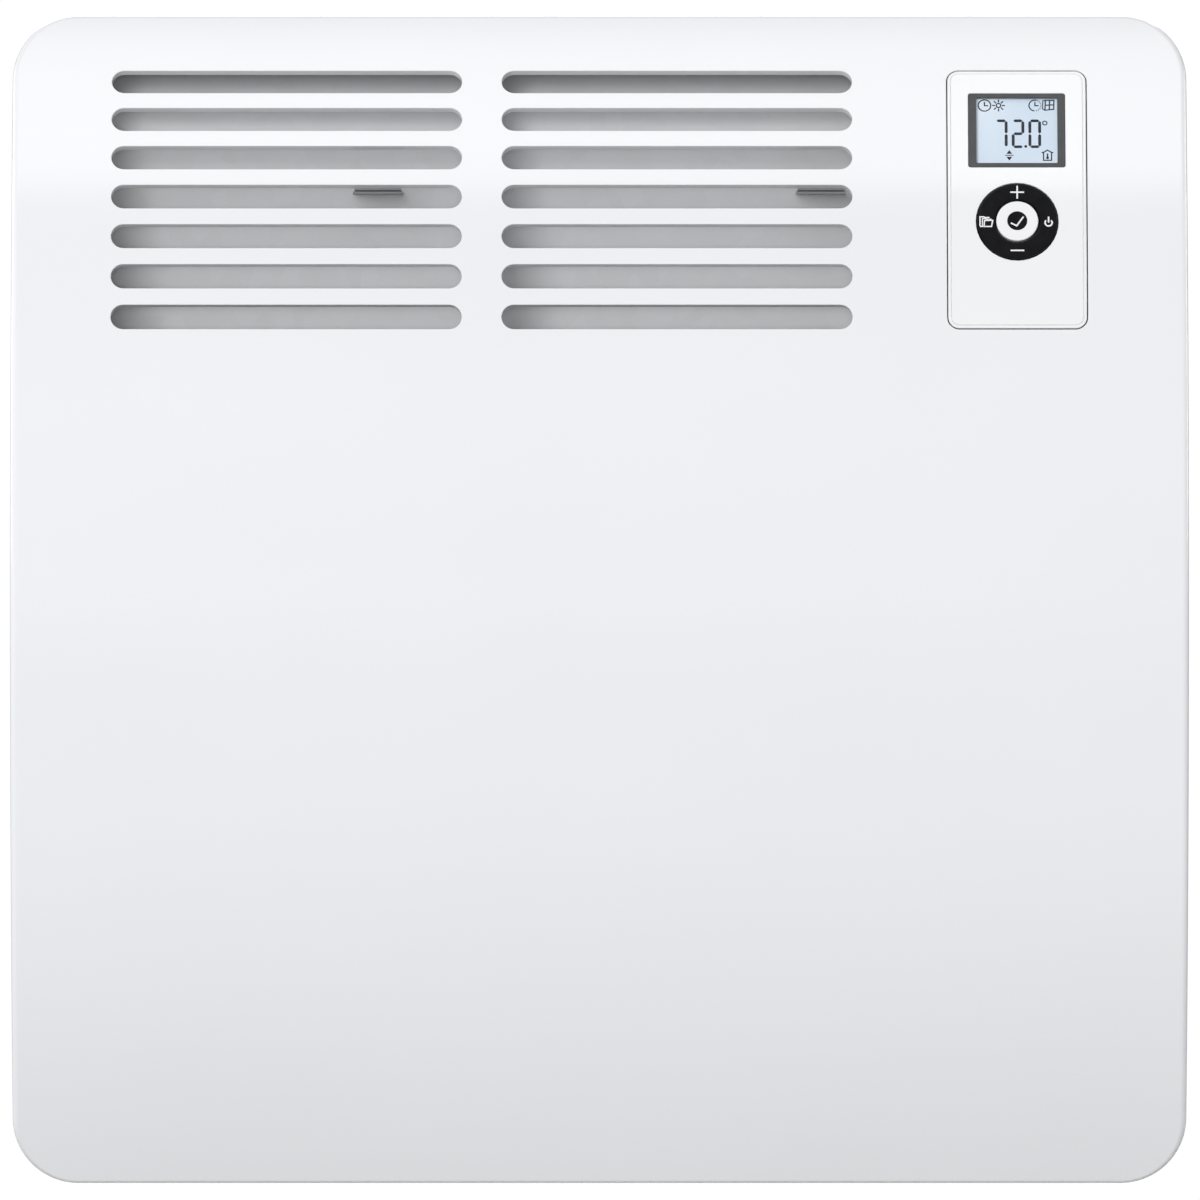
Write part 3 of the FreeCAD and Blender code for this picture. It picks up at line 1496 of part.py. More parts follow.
def on_board(name, x, z, width, height, depth):
    """A block that stands on the front of the power board."""
    return box(
        name,
        (f"{x} - {width} / 2", f"{x} + {width} / 2"),
        (f"board_front_y - {depth}", "board_front_y"),
        (f"{z} - {height} / 2", f"{z} + {height} / 2"),
    )


def terminal_block():
    half = "terminal_width / 2"
    node(
        "terminal_block",
        box(
            "terminal_block",
            (f"mains_x - {half}", f"mains_x + {half}"),
            ("rear_front_y - terminal_depth", "rear_front_y"),
            ("terminal_z - terminal_height / 2", "terminal_z + terminal_height / 2"),
        ),
    )
    face = "rear_front_y - terminal_depth"
    screws = []
    for i in (-1, 0, 1):
        x = f"mains_x {i:+d} * terminal_pitch"
        for up in ("-", "+"):
            start = (x, f"{face} - terminal_screw_cap", f"terminal_z {up} terminal_screw_rise")
            screws.append(rod("terminal_screw", "y", "terminal_screw_radius", start, "terminal_screw_cap"))
    node("terminal_screws", group("terminal_screws", screws))


def spot(x, y, z):
    return FreeCAD.Vector(value(x), value(y), value(z))


def lead(name, points, radius):
    """A round lead along straight runs joined by tangent arcs."""
    bend = value("lead_bend")
    edges = []
    cursor = points[0]
    for before, corner, after in zip(points, points[1:], points[2:]):
        into = (corner - before).normalize()
        out = (after - corner).normalize()
        half_turn = into.getAngle(out) / 2
        start = corner - into * (bend * math.tan(half_turn))
        end = corner + out * (bend * math.tan(half_turn))
        inward = (out - into).normalize()
        middle = corner + inward * (bend / math.cos(half_turn) - bend)
        edges.append(Part.LineSegment(cursor, start).toShape())
        edges.append(Part.Arc(start, middle, end).toShape())
        cursor = end
    edges.append(Part.LineSegment(cursor, points[-1]).toShape())
    section = Part.Wire(Part.makeCircle(radius, points[0], points[1] - points[0]))
    obj = doc.addObject("Part::Feature", name)
    obj.Shape = Part.Wire(edges).makePipeShell([section], True, False)
    return obj


def leads():
    """Leads that stay inside the casing, from the terminals and sensor to the power board."""
    block_top = "terminal_z + terminal_height / 2"
    mains = []
    for i in (-1, 0, 1):
        start = (f"mains_x {i:+d} * terminal_pitch", "lead_y", block_top)
        mains.append(rod("mains_lead", "z", "lead_radius", start, f"power_low_z - ({block_top})"))
    node("mains_leads", group("mains_leads", mains))

    radius = value("lead_radius")
    tab_top = "element_z + tab_width / 2"
    limiter_low = "limiter_z - limiter_tab_rise - tab_width / 2"
    limiter_top = "limiter_z + limiter_tab_rise + tab_width / 2"
    start = ("lead_x", "tube_rear_y", tab_top)
    through_limiter = rod("limiter_lead", "z", "lead_radius", start, f"{limiter_low} - ({tab_top})")
    rear = lead(
        "rear_lead",
        [
            spot("lead_x", "tube_rear_y", limiter_top),
            spot("lead_x", "tube_rear_y", f"{limiter_top} + 1.3 * lead_bend"),
            spot("lead_x", "lead_y", "power_low_z - 1.3 * lead_bend"),
            spot("lead_x", "lead_y", "power_low_z"),
        ],
        radius,
    )
    far_x = "lead_x + element_lead_pitch"
    front = lead(
        "front_lead",
        [
            spot("lead_x", "tube_front_y", tab_top),
            spot("lead_x", "tube_front_y", f"{tab_top} + element_lead_rise"),
            spot(far_x, "lead_y", "power_low_z - element_lead_drop"),
            spot(far_x, "lead_y", "power_low_z"),
        ],
        radius,
    )
    node("element_leads", group("element_leads", [through_limiter, rear, front]))

    sensor_top = "sensor_z + sensor_length / 2"
    start = ("sensor_x", "lead_y", sensor_top)
    length = f"power_low_z - ({sensor_top})"
    node("sensor_lead", rod("sensor_lead", "z", "sensor_lead_radius", start, length))


def room_sensor():
    """Air temperature probe in a clip on the rear panel, just above the inlet."""
    foot = ("sensor_x", "lead_y", "sensor_z - sensor_length / 2")
    node("room_sensor", rod("room_sensor", "z", "sensor_radius", foot, "sensor_length"))
    block = box(
        "clip_block",
        ("sensor_x - clip_width / 2", "sensor_x + clip_width / 2"),
        ("lead_y - sensor_radius - clip_wall", "rear_front_y"),
        ("sensor_z - clip_height / 2", "sensor_z + clip_height / 2"),
    )
    start = ("sensor_x", "lead_y", "sensor_z - clip_height")
    bore = rod("clip_bore", "z", "sensor_radius + pivot_fit", start, "2 * clip_height")
    node("sensor_clip", cut("sensor_clip", block, bore))


def display_cable():
    """Flat cable from the control board, through the housing, down to the power board."""
    turn = FreeCAD.Rotation(X_AXIS, -math.degrees(value(NAV) / value("bow_radius")))
    axis = FreeCAD.Vector(0, value("bow_y"), 0)
    starts = [
        axis + turn.multVec(FreeCAD.Vector(0, value(local_y(depth)), value("-ribbon_fall")))
        for depth in ("control_board_front + board_sheet", "ribbon_run")
    ]
    plug = FreeCAD.Vector(0, value("lead_y"), value("power_high_z"))
    points = starts + [plug + Z_AXIS * value("ribbon_rise"), plug]
    half = value("ribbon_sheet") / 2
    sides = {-1: [], 1: []}
    for i, point in enumerate(points):
        runs = [(b - a).normalize() for a, b in zip(points, points[1:])][max(0, i - 1):i + 1]
        normals = [X_AXIS.cross(run) for run in runs]
        mitre = sum(normals, FreeCAD.Vector()).normalize()
        for side, line in sides.items():
            line.append(point + mitre * (side * half / mitre.dot(normals[0])))
    outline = sides[1] + sides[-1][::-1]
    strip = Part.Face(Part.makePolygon(outline + outline[:1])).extrude(X_AXIS * value("ribbon_width"))
    cable = doc.addObject("Part::Feature", "display_cable")
    cable.Shape = strip
    bind(cable, Placement__Base__x="control_x - ribbon_width / 2")
    node("display_cable", cable)


def cable_entry():
    """Rubber grommet for the supply cable, and the earth screw beside it."""
    back = "-wall_gap + grommet_lip"
    inner = "rear_front_y - grommet_lip"
    grommet = pinned(
        "cable_grommet",
        [
            ("grommet_bore", back),
            ("grommet_waist", back),
            ("grommet_flange", "-wall_gap + grommet_lip / 2"),
            ("grommet_flange", "-wall_gap"),
            ("grommet_waist", "-wall_gap"),
            ("grommet_waist", "rear_front_y"),
            ("grommet_flange", "rear_front_y"),
            ("grommet_waist + pin_fit", inner),
            ("grommet_bore", inner),
        ],
        "grommet_x",
        "grommet_z",
    )
    node("cable_grommet", grommet)
    earth = pinned(
        "earth_screw",
        [
            ("0", "rear_front_y - earth_head"),
            ("earth_head_radius - pin_fit", "rear_front_y - earth_head"),
            ("earth_head_radius", "rear_front_y"),
            ("earth_screw_radius", "rear_front_y"),
            ("earth_screw_radius", "rear_front_y + earth_screw_length"),
            ("0", "rear_front_y + earth_screw_length"),
        ],
        "earth_x",
        "earth_z",
    )
    node("earth_screw", earth)


def bracket_rail(label, side):
    """Angle rail on the wall, with a hang hook cut from its flange."""
    flange_x = mirrored_x(("rail_flange_x", "rail_outer_x"), side)
    tall = ("-rail_height / 2", "rail_height / 2")
    web_x = mirrored_x(("rail_x - rail_web / 2", "rail_outer_x"), side)
    web = box(label + "_web", web_x, ("-bracket_sheet", "0"), tall)
    flange = box(label + "_flange", flange_x, ("rail_front_y", "0"), tall)
    neck_y = ("nose_front_y", "rail_front_y + bracket_sheet")
    neck = box(label + "_neck", flange_x, neck_y, ("hang_z - hang_neck", "hang_z"))
    nose_y = ("nose_front_y", "nose_back_y")
    nose = box(label + "_nose", flange_x, nose_y, ("hang_z - hang_neck", "hang_z + hang_nose"))
    holes = []
    for up in ("-", "+"):
        start = (f"{side} * rail_x", "-2 * bracket_sheet", f"{up}wall_screw_z")
        holes.append(rod(label + "_hole", "y", "wall_screw_radius", start, "3 * bracket_sheet"))
    whole = fuse(label + "_whole", web, flange, neck, nose)
    node(label, cut(label, whole, fuse(label + "_holes", *holes)))


def bracket_bar(label, sign):
    node(
        label,
        box(
            label,
            ("-rail_flange_x + sheet_fit", "rail_flange_x - sheet_fit"),
            ("-2 * bracket_sheet", "-bracket_sheet"),
            (f"{sign}bar_z - bar_height / 2", f"{sign}bar_z + bar_height / 2"),
        ),
    )


PIN_Y = "-(latch_front + latch_back) / 2"


def latch(label, side):
    """Drop latch on the rail: its nose hooks the rear panel, and its tab lifts it free."""
    sheet_x = mirrored_x(("latch_inner_x", "latch_outer_x"), side)
    deep = ("-latch_front", "-latch_back")
    strip = box(label + "_strip", sheet_x, deep, ("latch_foot_z", "latch_top_z"))
    neck = box(label + "_neck", sheet_x, ("nose_front_y", "-latch_front + latch_sheet"),
               ("latch_neck_z", "latch_neck_z + latch_neck"))
    nose = box(label + "_nose", sheet_x, ("nose_front_y", "nose_back_y"),
               ("latch_neck_z - latch_nose", "latch_neck_z + latch_neck"))
    tab_x = mirrored_x(("latch_inner_x - latch_tab", "latch_outer_x"), side)
    tab = box(label + "_tab", tab_x, deep, ("latch_top_z - latch_sheet", "latch_top_z"))
    holes = []
    width = "latch_pin_radius + pin_fit"
    for high in ("latch_pin_low_z", "latch_pin_high_z"):
        low = f"{high} - latch_travel"
        across = (f"{PIN_Y} - ({width})", f"{PIN_Y} + {width}")
        holes.append(box(label + "_way", sheet_x, across, (low, high)))
        for end in (low, high):
            holes.append(rod(label + "_way_end", "x", width, (sheet_x[0], PIN_Y, end), "latch_sheet"))
    whole = fuse(label + "_whole", strip, neck, nose, tab)
    node(label, cut(label, whole, fuse(label + "_ways", *holes)))


def latch_pins():
    """Headed pins on the rail flanges that guide the latches."""
    pins = []
    for side in (1, -1):
        for z in ("latch_pin_low_z", "latch_pin_high_z"):
            seat = "latch_inner_x - sheet_fit"
            shank_x = mirrored_x((seat, "rail_flange_x"), side)
            head_x = mirrored_x((f"{seat} - latch_pin_cap", seat), side)
            reach = f"rail_flange_x - ({seat})"
            shank = rod("pin_shank", "x", "latch_pin_radius", (shank_x[0], PIN_Y, z), reach)
            head = rod("pin_head", "x", "latch_pin_head", (head_x[0], PIN_Y, z), "latch_pin_cap")
            pins.append(fuse("latch_pin", shank, head))
    node("latch_pins", group("latch_pins", pins))


def wall_buffers():
    """Rubber buffers that keep the lower casing off the wall."""
    profile = [
        ("0", "0"),
        ("buffer_tip_radius", "0"),
        ("buffer_radius", "-wall_gap"),
        ("buffer_stem", "-wall_gap"),
        ("buffer_stem", "-wall_gap - buffer_stem_length"),
        ("0", "-wall_gap - buffer_stem_length"),
    ]
    buffers = [pinned(f"buffer_{i}", profile, x, "buffer_z") for i, x in enumerate(("-buffer_x", "buffer_x"))]
    node("wall_buffers", group("wall_buffers", buffers))


def casing_screws():
    """Screws from below that hold the front panel's lugs to the bottom of the casing."""
    screws = []
    for sign in ("-", "+"):
        x = f"{sign}casing_screw_x"
        under = (x, "casing_screw_y", "lug_low_z - casing_screw_cap")
        head = rod("screw_head", "z", "casing_screw_head", under, "casing_screw_cap")
        start = (x, "casing_screw_y", "lug_low_z")
        shank = rod("screw_shank", "z", "casing_screw_radius", start, "casing_screw_length")
        screws.append(fuse("casing_screw", head, shank))
    node("casing_screws", group("casing_screws", screws))


def hole_row(name, spots, radius):
    """Round holes through the rear sheets at the given (x, z)."""
    starts = [(x, "-2 * wall_gap", z) for x, z in spots]
    return fuse(name, *[rod(name + "_hole", "y", radius, start, "2 * wall_gap") for start in starts])


rivet_holes = hole_row("rivet_holes", rivet_places(), "rivet_radius + pin_fit")
buffer_holes = hole_row(
    "buffer_holes", [("-buffer_x", "buffer_z"), ("buffer_x", "buffer_z")], "buffer_stem + pin_fit"
)
front_panel()
rear_panel()
side_cheek("side_cheek_left", -1)
side_cheek("side_cheek_right", 1)
top_cover()
inlet_grille()
partition()
casing_rivets()
casing_screws()
air_guide()
heat_shield()
panel_hooks()
element()
safety_limiter()
control_fascia()
control_housing()
housing_nuts()
display()
nav_ring()
nav_gimbal()
key_carrier()
centre_key()
control_board()
display_cable()
power_board()
terminal_block()
leads()
room_sensor()
cable_entry()
bracket_rail("bracket_rail_left", -1)
bracket_rail("bracket_rail_right", 1)
bracket_bar("bracket_bar_upper", "+")
bracket_bar("bracket_bar_lower", "-")
latch("latch_left", -1)
latch("latch_right", 1)
latch_pins()
wall_buffers()

doc.recompute()
bad = [o.Label for o in doc.Objects if "Invalid" in o.State or "Error" in o.State]
if bad:
    raise RuntimeError(f"objects that did not compute: {bad}")
for part in nodes:
    if part.Shape.isNull() or not part.Shape.isValid():
        raise RuntimeError(f"{part.Label} has no valid shape")
    print(part.Label, len(part.Shape.Solids), round(part.Shape.Volume), part.Shape.BoundBox)
    part.Shape.exportStep(f"parts/{part.Label}.step")
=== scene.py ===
import json
import math
from typing import NamedTuple

import bmesh
import bpy
from mathutils import Matrix, Vector
from mathutils.geometry import delaunay_2d_cdt


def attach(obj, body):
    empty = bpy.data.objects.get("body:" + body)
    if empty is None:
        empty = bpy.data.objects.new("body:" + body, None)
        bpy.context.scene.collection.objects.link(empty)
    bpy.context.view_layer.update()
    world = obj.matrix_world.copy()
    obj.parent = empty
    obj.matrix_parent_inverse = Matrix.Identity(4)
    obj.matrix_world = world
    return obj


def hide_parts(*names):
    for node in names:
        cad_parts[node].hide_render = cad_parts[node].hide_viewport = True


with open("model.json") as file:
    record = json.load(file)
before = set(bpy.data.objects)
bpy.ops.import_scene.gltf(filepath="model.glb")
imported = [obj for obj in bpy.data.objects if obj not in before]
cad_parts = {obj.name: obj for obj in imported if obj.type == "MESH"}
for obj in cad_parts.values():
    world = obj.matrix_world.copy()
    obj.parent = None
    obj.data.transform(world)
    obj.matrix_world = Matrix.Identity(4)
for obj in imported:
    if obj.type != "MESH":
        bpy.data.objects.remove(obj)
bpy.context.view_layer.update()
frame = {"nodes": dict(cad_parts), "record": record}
nodes = frame["nodes"]
scene = bpy.context.scene
scene.view_settings.view_transform = "Standard"
scene.view_settings.look = "None"

# Lengths are in millimetres, as in the CAD source; MM and MICRON make metres of them for Blender
MM = 0.001
MICRON = 0.000001
RIGHT_ANGLE = math.pi / 2
FULL_TURN = 2 * math.pi

# Bowed front panel, repeated from the CAD source: an arc in y and z about an axis along x
BOW_RADIUS = 450.0
BOW_AXIS_Y = 320.0
PANEL_HALF = (235.0, 234.0)
PANEL_CORNER = 26.0
PANEL_EDGE = 2.5
PANEL_RETURN = 12.0
PANEL_SHEET = 1.5
PANEL_LINING = BOW_RADIUS - PANEL_SHEET

# Outlet slots, hung from the panel's top edge; drop and pitch run along the bow
SLOT_ROWS = 7
SLOT_DROP = 132.1
SLOT_PITCH = 16.9
SLOT_SPANS = ((-195.1, -55.05), (-39.05, 101.0))
SLOT_HALF = 5.0
SLOT_RIM_WALL = 1.0
SLOT_RIM_DEPTH = 2.0
LOWEST_SLOT_ANGLE = math.asin(PANEL_HALF[1] / BOW_RADIUS) - SLOT_DROP / BOW_RADIUS

# Control unit, level with the middle slot row; the display lies above its middle, the keys below
CONTROL_X = 166.9
DISPLAY_RISE = 28.9
KEYS_DROP = 10.8
CONTROL_ANGLE = LOWEST_SLOT_ANGLE + SLOT_ROWS // 2 * SLOT_PITCH / BOW_RADIUS
DISPLAY_ANGLE = CONTROL_ANGLE + DISPLAY_RISE / BOW_RADIUS
KEYS_ANGLE = CONTROL_ANGLE - KEYS_DROP / BOW_RADIUS
WINDOW_HALF = (28.1, 55.7)
WINDOW_CORNER = 5.0

# Fascia, a little proud of the panel; each opening has half sizes and a corner radius
FASCIA_HALF = (27.7, 55.3)
FASCIA_CORNER = 4.6
FASCIA_PROUD = 0.3
FASCIA_THICKNESS = 3.0
FASCIA_FACE = BOW_RADIUS + FASCIA_PROUD
FASCIA_BACK = FASCIA_FACE - FASCIA_THICKNESS
DISPLAY_OPENING = ((19.45, 16.4), 1.0)
KEYS_OPENING = ((16.55, 16.55), 16.55)

# Display, key ring and centre key: radii, and depths behind the bow, which are negative in front of it
LCD_DEPTH = 2.15
RING_FACE = -0.9
RING_BACK = 3.9
RING_BORE_END = 5.0
RING_BORE_RADIUS = 8.9
RING_RADIUS = 16.1
KEY_FACE = -1.1
KEY_BACK = 3.4
KEY_RADIUS = 8.4
KEY_POCKET_FLOOR = -0.3
KEY_POCKET_RADIUS = 4.0
DOT_FACE = -1.2

# Small roundings and the fine groove round the fascia, left to this script; leans are in radians
HOLE_EASE = 0.35
FASCIA_EASE = 0.2
FASCIA_EDGE = 0.4
FASCIA_EDGE_DROP = 0.06
FASCIA_LAND_DROP = 0.03
FASCIA_LAND_LEAN = 0.02
GROOVE_INSETS = (1.55, 1.3, 1.05)
GROOVE_DEPTH = 0.32
GROOVE_LIP_LEAN = 0.85
GROOVE_FLOOR_LEAN = 1.2
RING_ROUNDING = 0.6
KEY_ROUNDING = 0.5
KEY_POCKET_ROUNDING = 0.12

# Fineness of the rebuilt meshes: longest steps, steps round a curve and spacing across and up a face
OUTLINE_STEP = 6.0
CORNER_STEPS = 10
HOLE_EDGE_STEPS = 4
PANEL_CORNER_STEPS = 18
PANEL_EDGE_STEPS = 6
PANEL_FRONT_SPACING = (11.0, 5.0)
PANEL_INNER_SPACING = (40.0, 8.0)
FASCIA_STEP = 4.0
FASCIA_CORNER_STEPS = 12
FASCIA_EDGE_STEPS = 4
FASCIA_SPACING = (5.0, 3.0)
TURN_STEPS = 96
TURN_ROUNDING_STEPS = 5

# Tolerances for comparing sides, faces and points
TINY = 0.001
TOLERANCE = 0.05
OPENING_MARGIN = 0.1
RIM_ZONE = 3.0
POINT_DIGITS = 3
MERGE_DISTANCE = 1e-5


# Materials

MATERIALS = {}


class Shader:
    """A principled material with procedural detail in object space, kept in MATERIALS."""

    def __init__(self, name, colour, roughness, metallic=0.0, **sockets):
        material = bpy.data.materials.new(name)
        material.use_nodes = True
        MATERIALS[name] = material
        self.tree = material.node_tree
        self.principled = self.tree.nodes["Principled BSDF"]
        self.colour = colour
        self.set("Base Color", (*colour, 1.0))
        self.set("Roughness", roughness)
        self.set("Metallic", metallic)
        for key, value in sockets.items():
            self.set(key.replace("_", " "), value)
        coordinates = self.tree.nodes.new("ShaderNodeTexCoord")
        self.object_space = coordinates.outputs["Object"]

    def set(self, socket, value):
        """Gives a socket of the principled shader a fixed value."""
        self.principled.inputs[socket].default_value = value

    def link(self, output, socket):
        """Feeds a socket of the principled shader."""
        self.tree.links.new(output, self.principled.inputs[socket])

    def mapped(self, **sockets):
        """Object space, scaled or turned."""
        mapping = self.tree.nodes.new("ShaderNodeMapping")
        for key, value in sockets.items():
            mapping.inputs[key].default_value = value
        self.tree.links.new(self.object_space, mapping.inputs["Vector"])
        return mapping.outputs["Vector"]

    def texture(self, kind, vector, **sockets):
        """A texture node over a space of points."""
        node = self.tree.nodes.new(kind)
        for key, value in sockets.items():
            node.inputs[key.replace("_", " ")].default_value = value
        self.tree.links.new(vector, node.inputs["Vector"])
        return node

    def noise(self, scale, detail=2.0, roughness=0.5, stretch=(1, 1, 1)):
        """A noise field; scale counts features per metre."""
        space = self.mapped(Scale=stretch)
        look = {"Scale": scale, "Detail": detail, "Roughness": roughness}
        return self.texture("ShaderNodeTexNoise", space, **look).outputs["Fac"]

    def ramp(self, field, low, high, start=0.3, end=0.7):
        """Spreads a field between two colours."""
        node = self.tree.nodes.new("ShaderNodeValToRGB")
        first, last = node.color_ramp.elements
        first.position, last.position = start, end
        first.color, last.color = (*low, 1.0), (*high, 1.0)
        self.tree.links.new(field, node.inputs["Fac"])
        return node.outputs["Color"]

    def tint(self, field, spread, start=0.3, end=0.7):
        """Lets the base colour drift a little, darker and lighter, over the surface."""
        low = tuple(max(0.0, c * (1 - spread)) for c in self.colour)
        high = tuple(min(1.0, c * (1 + spread)) for c in self.colour)
        self.link(self.ramp(field, low, high, start, end), "Base Color")

    def rough(self, field, low, high):
        """Lets the roughness drift between two values."""
        self.link(self.ramp(field, (low,) * 3, (high,) * 3), "Roughness")

    def bump(self, field, distance, strength=1.0):
        """Fine relief that is too small to model; distance is in metres."""
        node = self.tree.nodes.new("ShaderNodeBump")
        node.inputs["Distance"].default_value = distance
        node.inputs["Strength"].default_value = strength
        self.tree.links.new(field, node.inputs["Height"])
        self.link(node.outputs["Normal"], "Normal")


def powder_coat(name, colour, roughness, peel):
    """Smooth powder coat: faint orange peel and a slow drift of tone and gloss."""
    shader = Shader(name, colour, roughness)
    shader.tint(shader.noise(scale=9, detail=3), spread=0.006)
    shader.rough(shader.noise(scale=40), low=roughness * 0.93, high=roughness * 1.07)
    shader.bump(shader.noise(scale=700, detail=1), distance=peel)


def sheet_steel(name, colour, roughness, stretch=(1, 1, 1), spangle=0.02, metallic=0.9):
    """Zinc-coated sheet: spangle, rolling streaks and uneven gloss."""
    shader = Shader(name, colour, roughness, metallic)
    crystals = shader.texture("ShaderNodeTexVoronoi", shader.object_space, Scale=140)
    gloss = shader.noise(scale=120, detail=4, roughness=0.6, stretch=stretch)
    streaks = shader.noise(scale=900, detail=3, roughness=0.6, stretch=stretch)
    shader.tint(crystals.outputs["Color"], spangle, start=0.1, end=0.9)
    shader.rough(gloss, low=roughness * 0.8, high=roughness * 1.2)
    shader.bump(streaks, distance=10 * MICRON, strength=0.6)


def moulded(name, colour, roughness, grain=6 * MICRON, spread=0.02, **sockets):
    """Moulded plastic, ceramic, rubber or print with a fine eroded grain."""
    shader = Shader(name, colour, roughness, **sockets)
    shader.tint(shader.noise(scale=60, detail=3), spread)
    shader.rough(shader.noise(scale=300, detail=3), low=roughness * 0.85, high=roughness * 1.15)
    shader.bump(shader.noise(scale=2600, roughness=0.7), distance=grain)


def bright_metal(name, colour, roughness, stretch=(1, 1, 1)):
    """Turned or drawn metal with fine streaks."""
    shader = Shader(name, colour, roughness, metallic=1.0)
    tone = shader.noise(scale=150, detail=4, roughness=0.6, stretch=stretch)
    gloss = shader.noise(scale=500, detail=4, roughness=0.6, stretch=stretch)
    streaks = shader.noise(scale=1500, roughness=0.6, stretch=stretch)
    shader.tint(tone, spread=0.08)
    shader.rough(gloss, low=roughness * 0.7, high=roughness * 1.3)
    shader.bump(streaks, distance=8 * MICRON, strength=0.5)


def printed_board(name):
    """Green solder mask over faint copper tracks."""
    shader = Shader(name, (0.02, 0.13, 0.06), roughness=0.35)
    tracks = shader.texture(
        "ShaderNodeTexBrick",
        shader.mapped(Rotation=(RIGHT_ANGLE, 0, 0)),
        Scale=160,
        Mortar_Size=0.03,
        Color1=(0.018, 0.12, 0.055, 1),
        Color2=(0.025, 0.16, 0.07, 1),
        Mortar=(0.05, 0.24, 0.11, 1),
    )
    shader.link(tracks.outputs["Color"], "Base Color")
    shader.bump(tracks.outputs["Fac"], distance=30 * MICRON)


def lcd_surface(name):
    """Pale blue liquid crystal with a slightly uneven backlight."""
    shader = Shader(name, (0.60, 0.70, 0.82), roughness=0.35)
    patches = shader.noise(scale=28, detail=1, roughness=0.4)
    colour = shader.ramp(patches, low=(0.59, 0.69, 0.80), high=(0.68, 0.77, 0.85))
    shader.link(colour, "Base Color")
    shader.link(colour, "Emission Color")
    shader.set("Emission Strength", 0.06)
    shader.bump(shader.noise(scale=5000, detail=1), distance=2 * MICRON)


def clear_lens(name):
    """Clear plastic over the display, nearly unseen but for its gloss."""
    shader = Shader(name, (0.55, 0.60, 0.66), roughness=0.08, Specular_IOR_Level=0.3)
    shader.set("Alpha", 0.025)
    shader.rough(shader.noise(scale=200), low=0.05, high=0.12)


powder_coat("panel_white", (0.83, 0.835, 0.855), roughness=0.15, peel=4 * MICRON)
powder_coat("casing_white", (0.74, 0.745, 0.76), roughness=0.4, peel=20 * MICRON)
powder_coat("fascia_white", (0.86, 0.863, 0.875), roughness=0.1, peel=0.5 * MICRON)
powder_coat("key_white", (0.86, 0.86, 0.87), roughness=0.15, peel=0.5 * MICRON)
sheet_steel("galvanised", (0.65, 0.655, 0.67), roughness=0.5, metallic=0.1)
sheet_steel("zinc_bracket", (0.47, 0.48, 0.50), roughness=0.38, stretch=(1, 1, 0.08), spangle=0.12)
sheet_steel("zinc_latch", (0.50, 0.49, 0.46), roughness=0.28, stretch=(1, 1, 0.05), spangle=0.04)
sheet_steel("hook_steel", (0.27, 0.27, 0.285), roughness=0.35, metallic=0.4)
bright_metal("steel_screw", (0.68, 0.68, 0.70), roughness=0.25)
bright_metal("element_steel", (0.38, 0.34, 0.31), roughness=0.35, stretch=(0.05, 1, 1))
bright_metal("fin_aluminium", (0.80, 0.80, 0.81), roughness=0.35, stretch=(1, 1, 0.1))
bright_metal("terminal_brass", (0.80, 0.62, 0.30), roughness=0.25)
moulded("ceramic", (0.80, 0.76, 0.68), roughness=0.6, grain=30 * MICRON, spread=0.05)
moulded("inner_black", (0.035, 0.035, 0.037), roughness=0.5)
moulded("inner_white", (0.70, 0.70, 0.68), roughness=0.5)
moulded("capacitor_yellow", (0.72, 0.50, 0.08), roughness=0.45, grain=10 * MICRON, spread=0.04)
moulded("lead_sleeve", (0.13, 0.11, 0.10), roughness=0.6, grain=30 * MICRON, spread=0.08)
moulded("cable_grey", (0.42, 0.43, 0.46), roughness=0.45, grain=10 * MICRON, spread=0.04)
moulded("rubber", (0.025, 0.025, 0.026), roughness=0.7, grain=30 * MICRON, spread=0.1)
moulded(
    "bezel_grey",
    (0.068, 0.071, 0.075),
    roughness=0.4,
    grain=1 * MICRON,
    spread=0.04,
    Specular_IOR_Level=0.3,
)
moulded(
    "key_black",
    (0.005, 0.005, 0.006),
    roughness=0.16,
    grain=0.3 * MICRON,
    spread=0.15,
    Specular_IOR_Level=0.22,
)
moulded(
    "display_ink",
    (0.006, 0.009, 0.018),
    roughness=0.5,
    grain=1 * MICRON,
    spread=0.15,
    Specular_IOR_Level=0.2,
)
moulded("key_print", (0.86, 0.86, 0.87), roughness=0.4, grain=1 * MICRON, spread=0.01)
printed_board("board_green")
lcd_surface("lcd_blue")
clear_lens("lens_clear")

for part in frame["record"]["subparts"]:
    for slot in nodes[part["node"]].material_slots:
        slot.material = MATERIALS[part["material_slot"]]


# Tools for the pieces that are rebuilt or added


def add_piece(name, data, material, body):
    """Puts a mesh into the scene as a piece that rides on a body."""
    data.materials.append(MATERIALS[material])
    piece = bpy.data.objects.new(name, data)
    scene.collection.objects.link(piece)
    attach(piece, body)
    return piece


def bow_frame(angle):
    """Frame of a spot on the control unit: x to the right, y into the heater, z up along the bow."""
    axis = Matrix.Translation((CONTROL_X, BOW_AXIS_Y, 0))
    return axis @ Matrix.Rotation(-angle, 4, "X") @ Matrix.Translation((0, -BOW_RADIUS, 0))


def bow_point(x, angle, radius):
    """A point on a bow of some radius about the panel's axis."""
    return Vector((x, BOW_AXIS_Y - radius * math.cos(angle), radius * math.sin(angle)))


def bow_normal(angle):
    """The way a bow faces at an angle, away from its axis."""
    return Vector((0, -math.cos(angle), math.sin(angle)))


